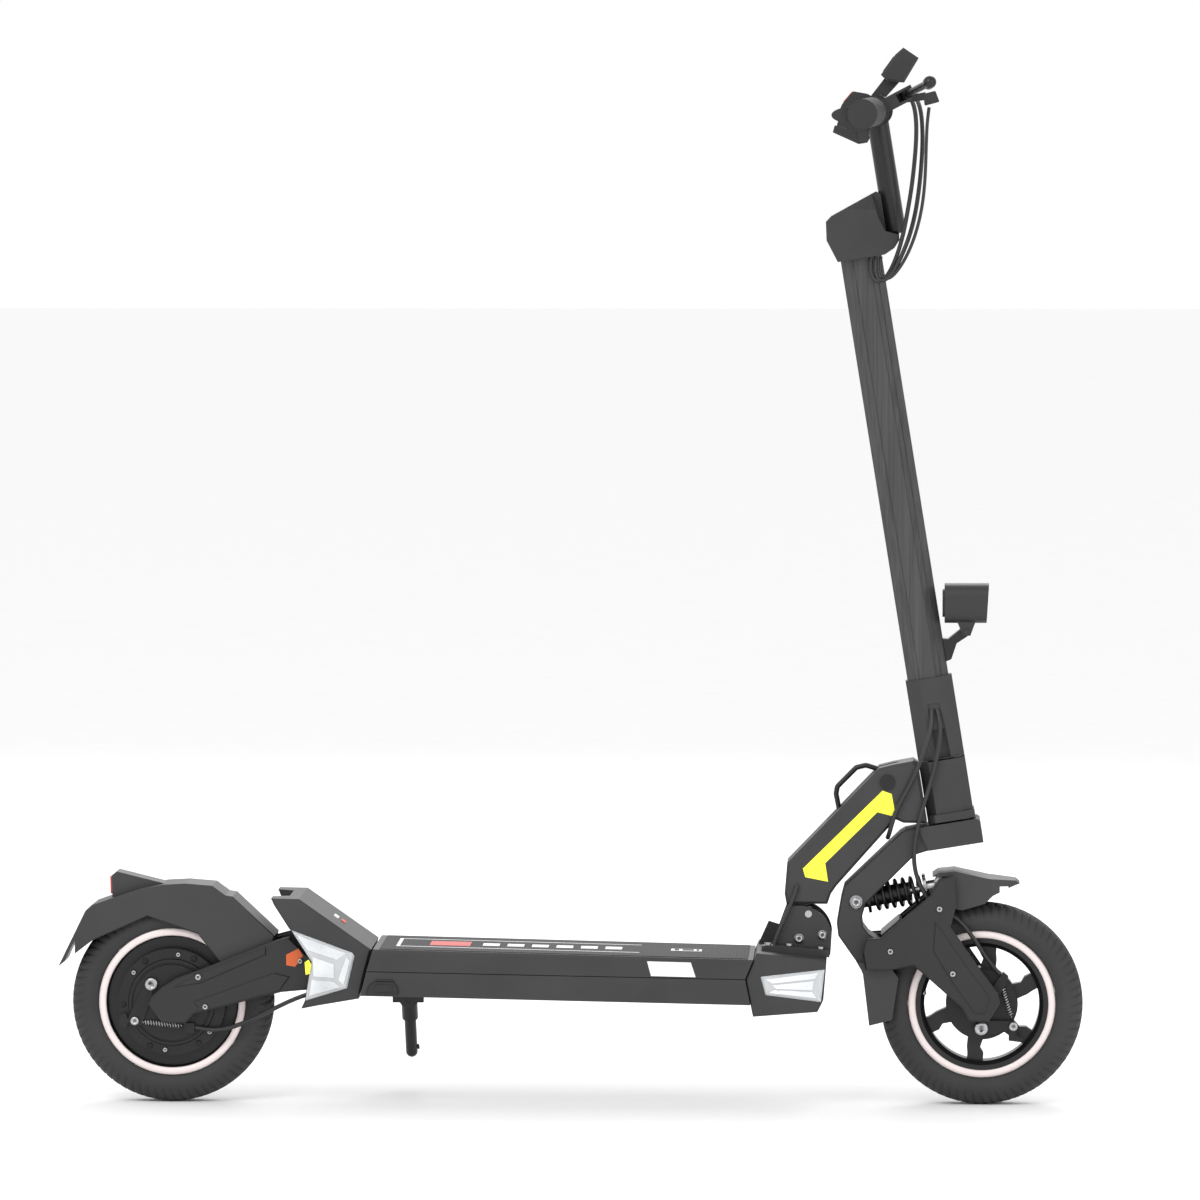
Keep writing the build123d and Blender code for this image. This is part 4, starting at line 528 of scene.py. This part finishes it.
# ---------------------------------------------------------------- cables
def cable(name, points, radius, body, node):
    """A round cable along its control points."""
    data = bpy.data.curves.new(name, "CURVE")
    data.dimensions = "3D"
    spline = data.splines.new("NURBS")
    spline.points.add(len(points) - 1)
    for control, point in zip(spline.points, points):
        control.co = (*[c / 1000 for c in point], 1)
    spline.order_u = 3
    spline.use_endpoint_u = True
    data.bevel_depth = radius / 1000
    data.bevel_resolution = 4
    data.resolution_u = 8
    data.use_fill_caps = True
    data.materials.append(CABLE)
    obj = bpy.data.objects.new(name, data)
    scene.collection.objects.link(obj)
    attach(obj, body)
    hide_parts(node)


RIGHT_BRAKE_CABLE = [
    (379.0, -103.5, 1147.3), (382, -94, 1148), (388, -81, 1143), (391.5, -71, 1131),
    (393, -63, 1114), (392.5, -56, 1093), (390.5, -50, 1069), (387.5, -46.5, 1043),
    (383.0, -44, 1016), (378.0, -42.5, 990), (371.0, -41, 966), (362.5, -38, 947),
    (354.0, -34.5, 938), (346.0, -31, 939), (342.0, -28.5, 947.5), (341.3, -27.5, 957),
    (342.0, -27.3, 964.4)]
LEFT_BRAKE_CABLE = [
    (379.0, 103.5, 1147.3), (383, 93, 1149), (390, 78, 1148), (395, 62, 1142),
    (398.5, 45, 1129), (400, 28, 1111), (400, 11, 1090), (398.5, -6, 1066),
    (396, -21, 1041), (392, -33, 1015), (386.0, -41, 991), (377.5, -45, 969),
    (368.0, -44, 950), (358.0, -39, 939), (350.5, -33.5, 940), (347.3, -30, 949),
    (347.0, -28, 958), (347.6, -27.3, 965.0)]
SWITCH_CABLE = [
    (407.0, -109.0, 1134.6), (405.5, -106, 1123), (404.5, -99, 1109), (404, -89, 1092),
    (403.5, -78, 1072), (402.5, -68, 1049), (400, -59, 1025), (395, -52.5, 1001),
    (387.5, -48.5, 978), (377.0, -46.5, 957), (365.0, -42.5, 942), (356.5, -36.5, 941),
    (353.0, -31.5, 949), (352.5, -28.5, 958), (353.2, -27.3, 965.9)]
NECK_LEAD = [
    (411.6, -26.9, 452.0), (412.2, -31.5, 442), (410.8, -35.8, 430), (407.0, -38.5, 416),
    (401.5, -39.5, 399), (394.0, -39, 381), (385.0, -38.6, 363), (376.5, -38.5, 347),
    (370.0, -38.4, 333), (366.0, -38.0, 320.0), (363.5, -33.5, 310.0), (362.0, -25.0, 305.5)]
DECK_LEAD = [
    (259.5, -36.7, 252.0), (257.0, -38.4, 243), (252.8, -39.7, 232), (248.0, -40.5, 221),
    (243.2, -41, 210), (238.8, -41.2, 199.5), (235.4, -41.2, 191), (233.8, -41.2, 184.6)]
FRONT_BRAKE_CABLE = [
    (417.6, -26.6, 452.0), (420.3, -31.2, 441), (421.3, -34, 427), (419.5, -35.3, 409),
    (415.5, -36, 388), (409.5, -37.5, 366), (403.0, -39.5, 345), (397.0, -40.5, 324),
    (393.0, -40.0, 303), (391.5, -37, 284), (393.5, -34.2, 266.5), (399.5, -33.4, 250),
    (408.0, -33.2, 236.0), (418.5, -33, 226.5), (430.0, -32.8, 220.5), (442.0, -32.5, 213),
    (452.5, -32.2, 201.5), (462.0, -31.8, 188), (471.5, -31, 173), (481.3, -28.5, 159.5),
    (489.0, -25.5, 150.5)]
REAR_BRAKE_CABLE = [
    (-427.3, -35.5, 87.0), (-414.5, -35.8, 84.5), (-399, -36.8, 84), (-382, -39.6, 88.5),
    (-364, -44, 96), (-346, -49.5, 105), (-328, -53.8, 114.5), (-309.5, -56, 123),
    (-291, -56.5, 129.5), (-273, -56, 134), (-259.5, -55.5, 136.5), (-248.3, -55, 137.5)]
cable("right_lever_cable", RIGHT_BRAKE_CABLE, 2.5, "steering", "cockpit_cables")
cable("left_lever_cable", LEFT_BRAKE_CABLE, 2.5, "steering", "cockpit_cables")
cable("switch_cable", SWITCH_CABLE, 1.9, "steering", "cockpit_cables")
cable("neck_lead", NECK_LEAD, 2.6, "neck", "wiring_leads")
cable("deck_lead", DECK_LEAD, 2.2, "neck", "wiring_leads")
cable("front_brake_hose", FRONT_BRAKE_CABLE, 2.5, "steering", "front_brake_cable")
cable("rear_brake_hose", REAR_BRAKE_CABLE, 2.5, "rear_arm", "rear_brake_cable")

bpy.context.view_layer.update()
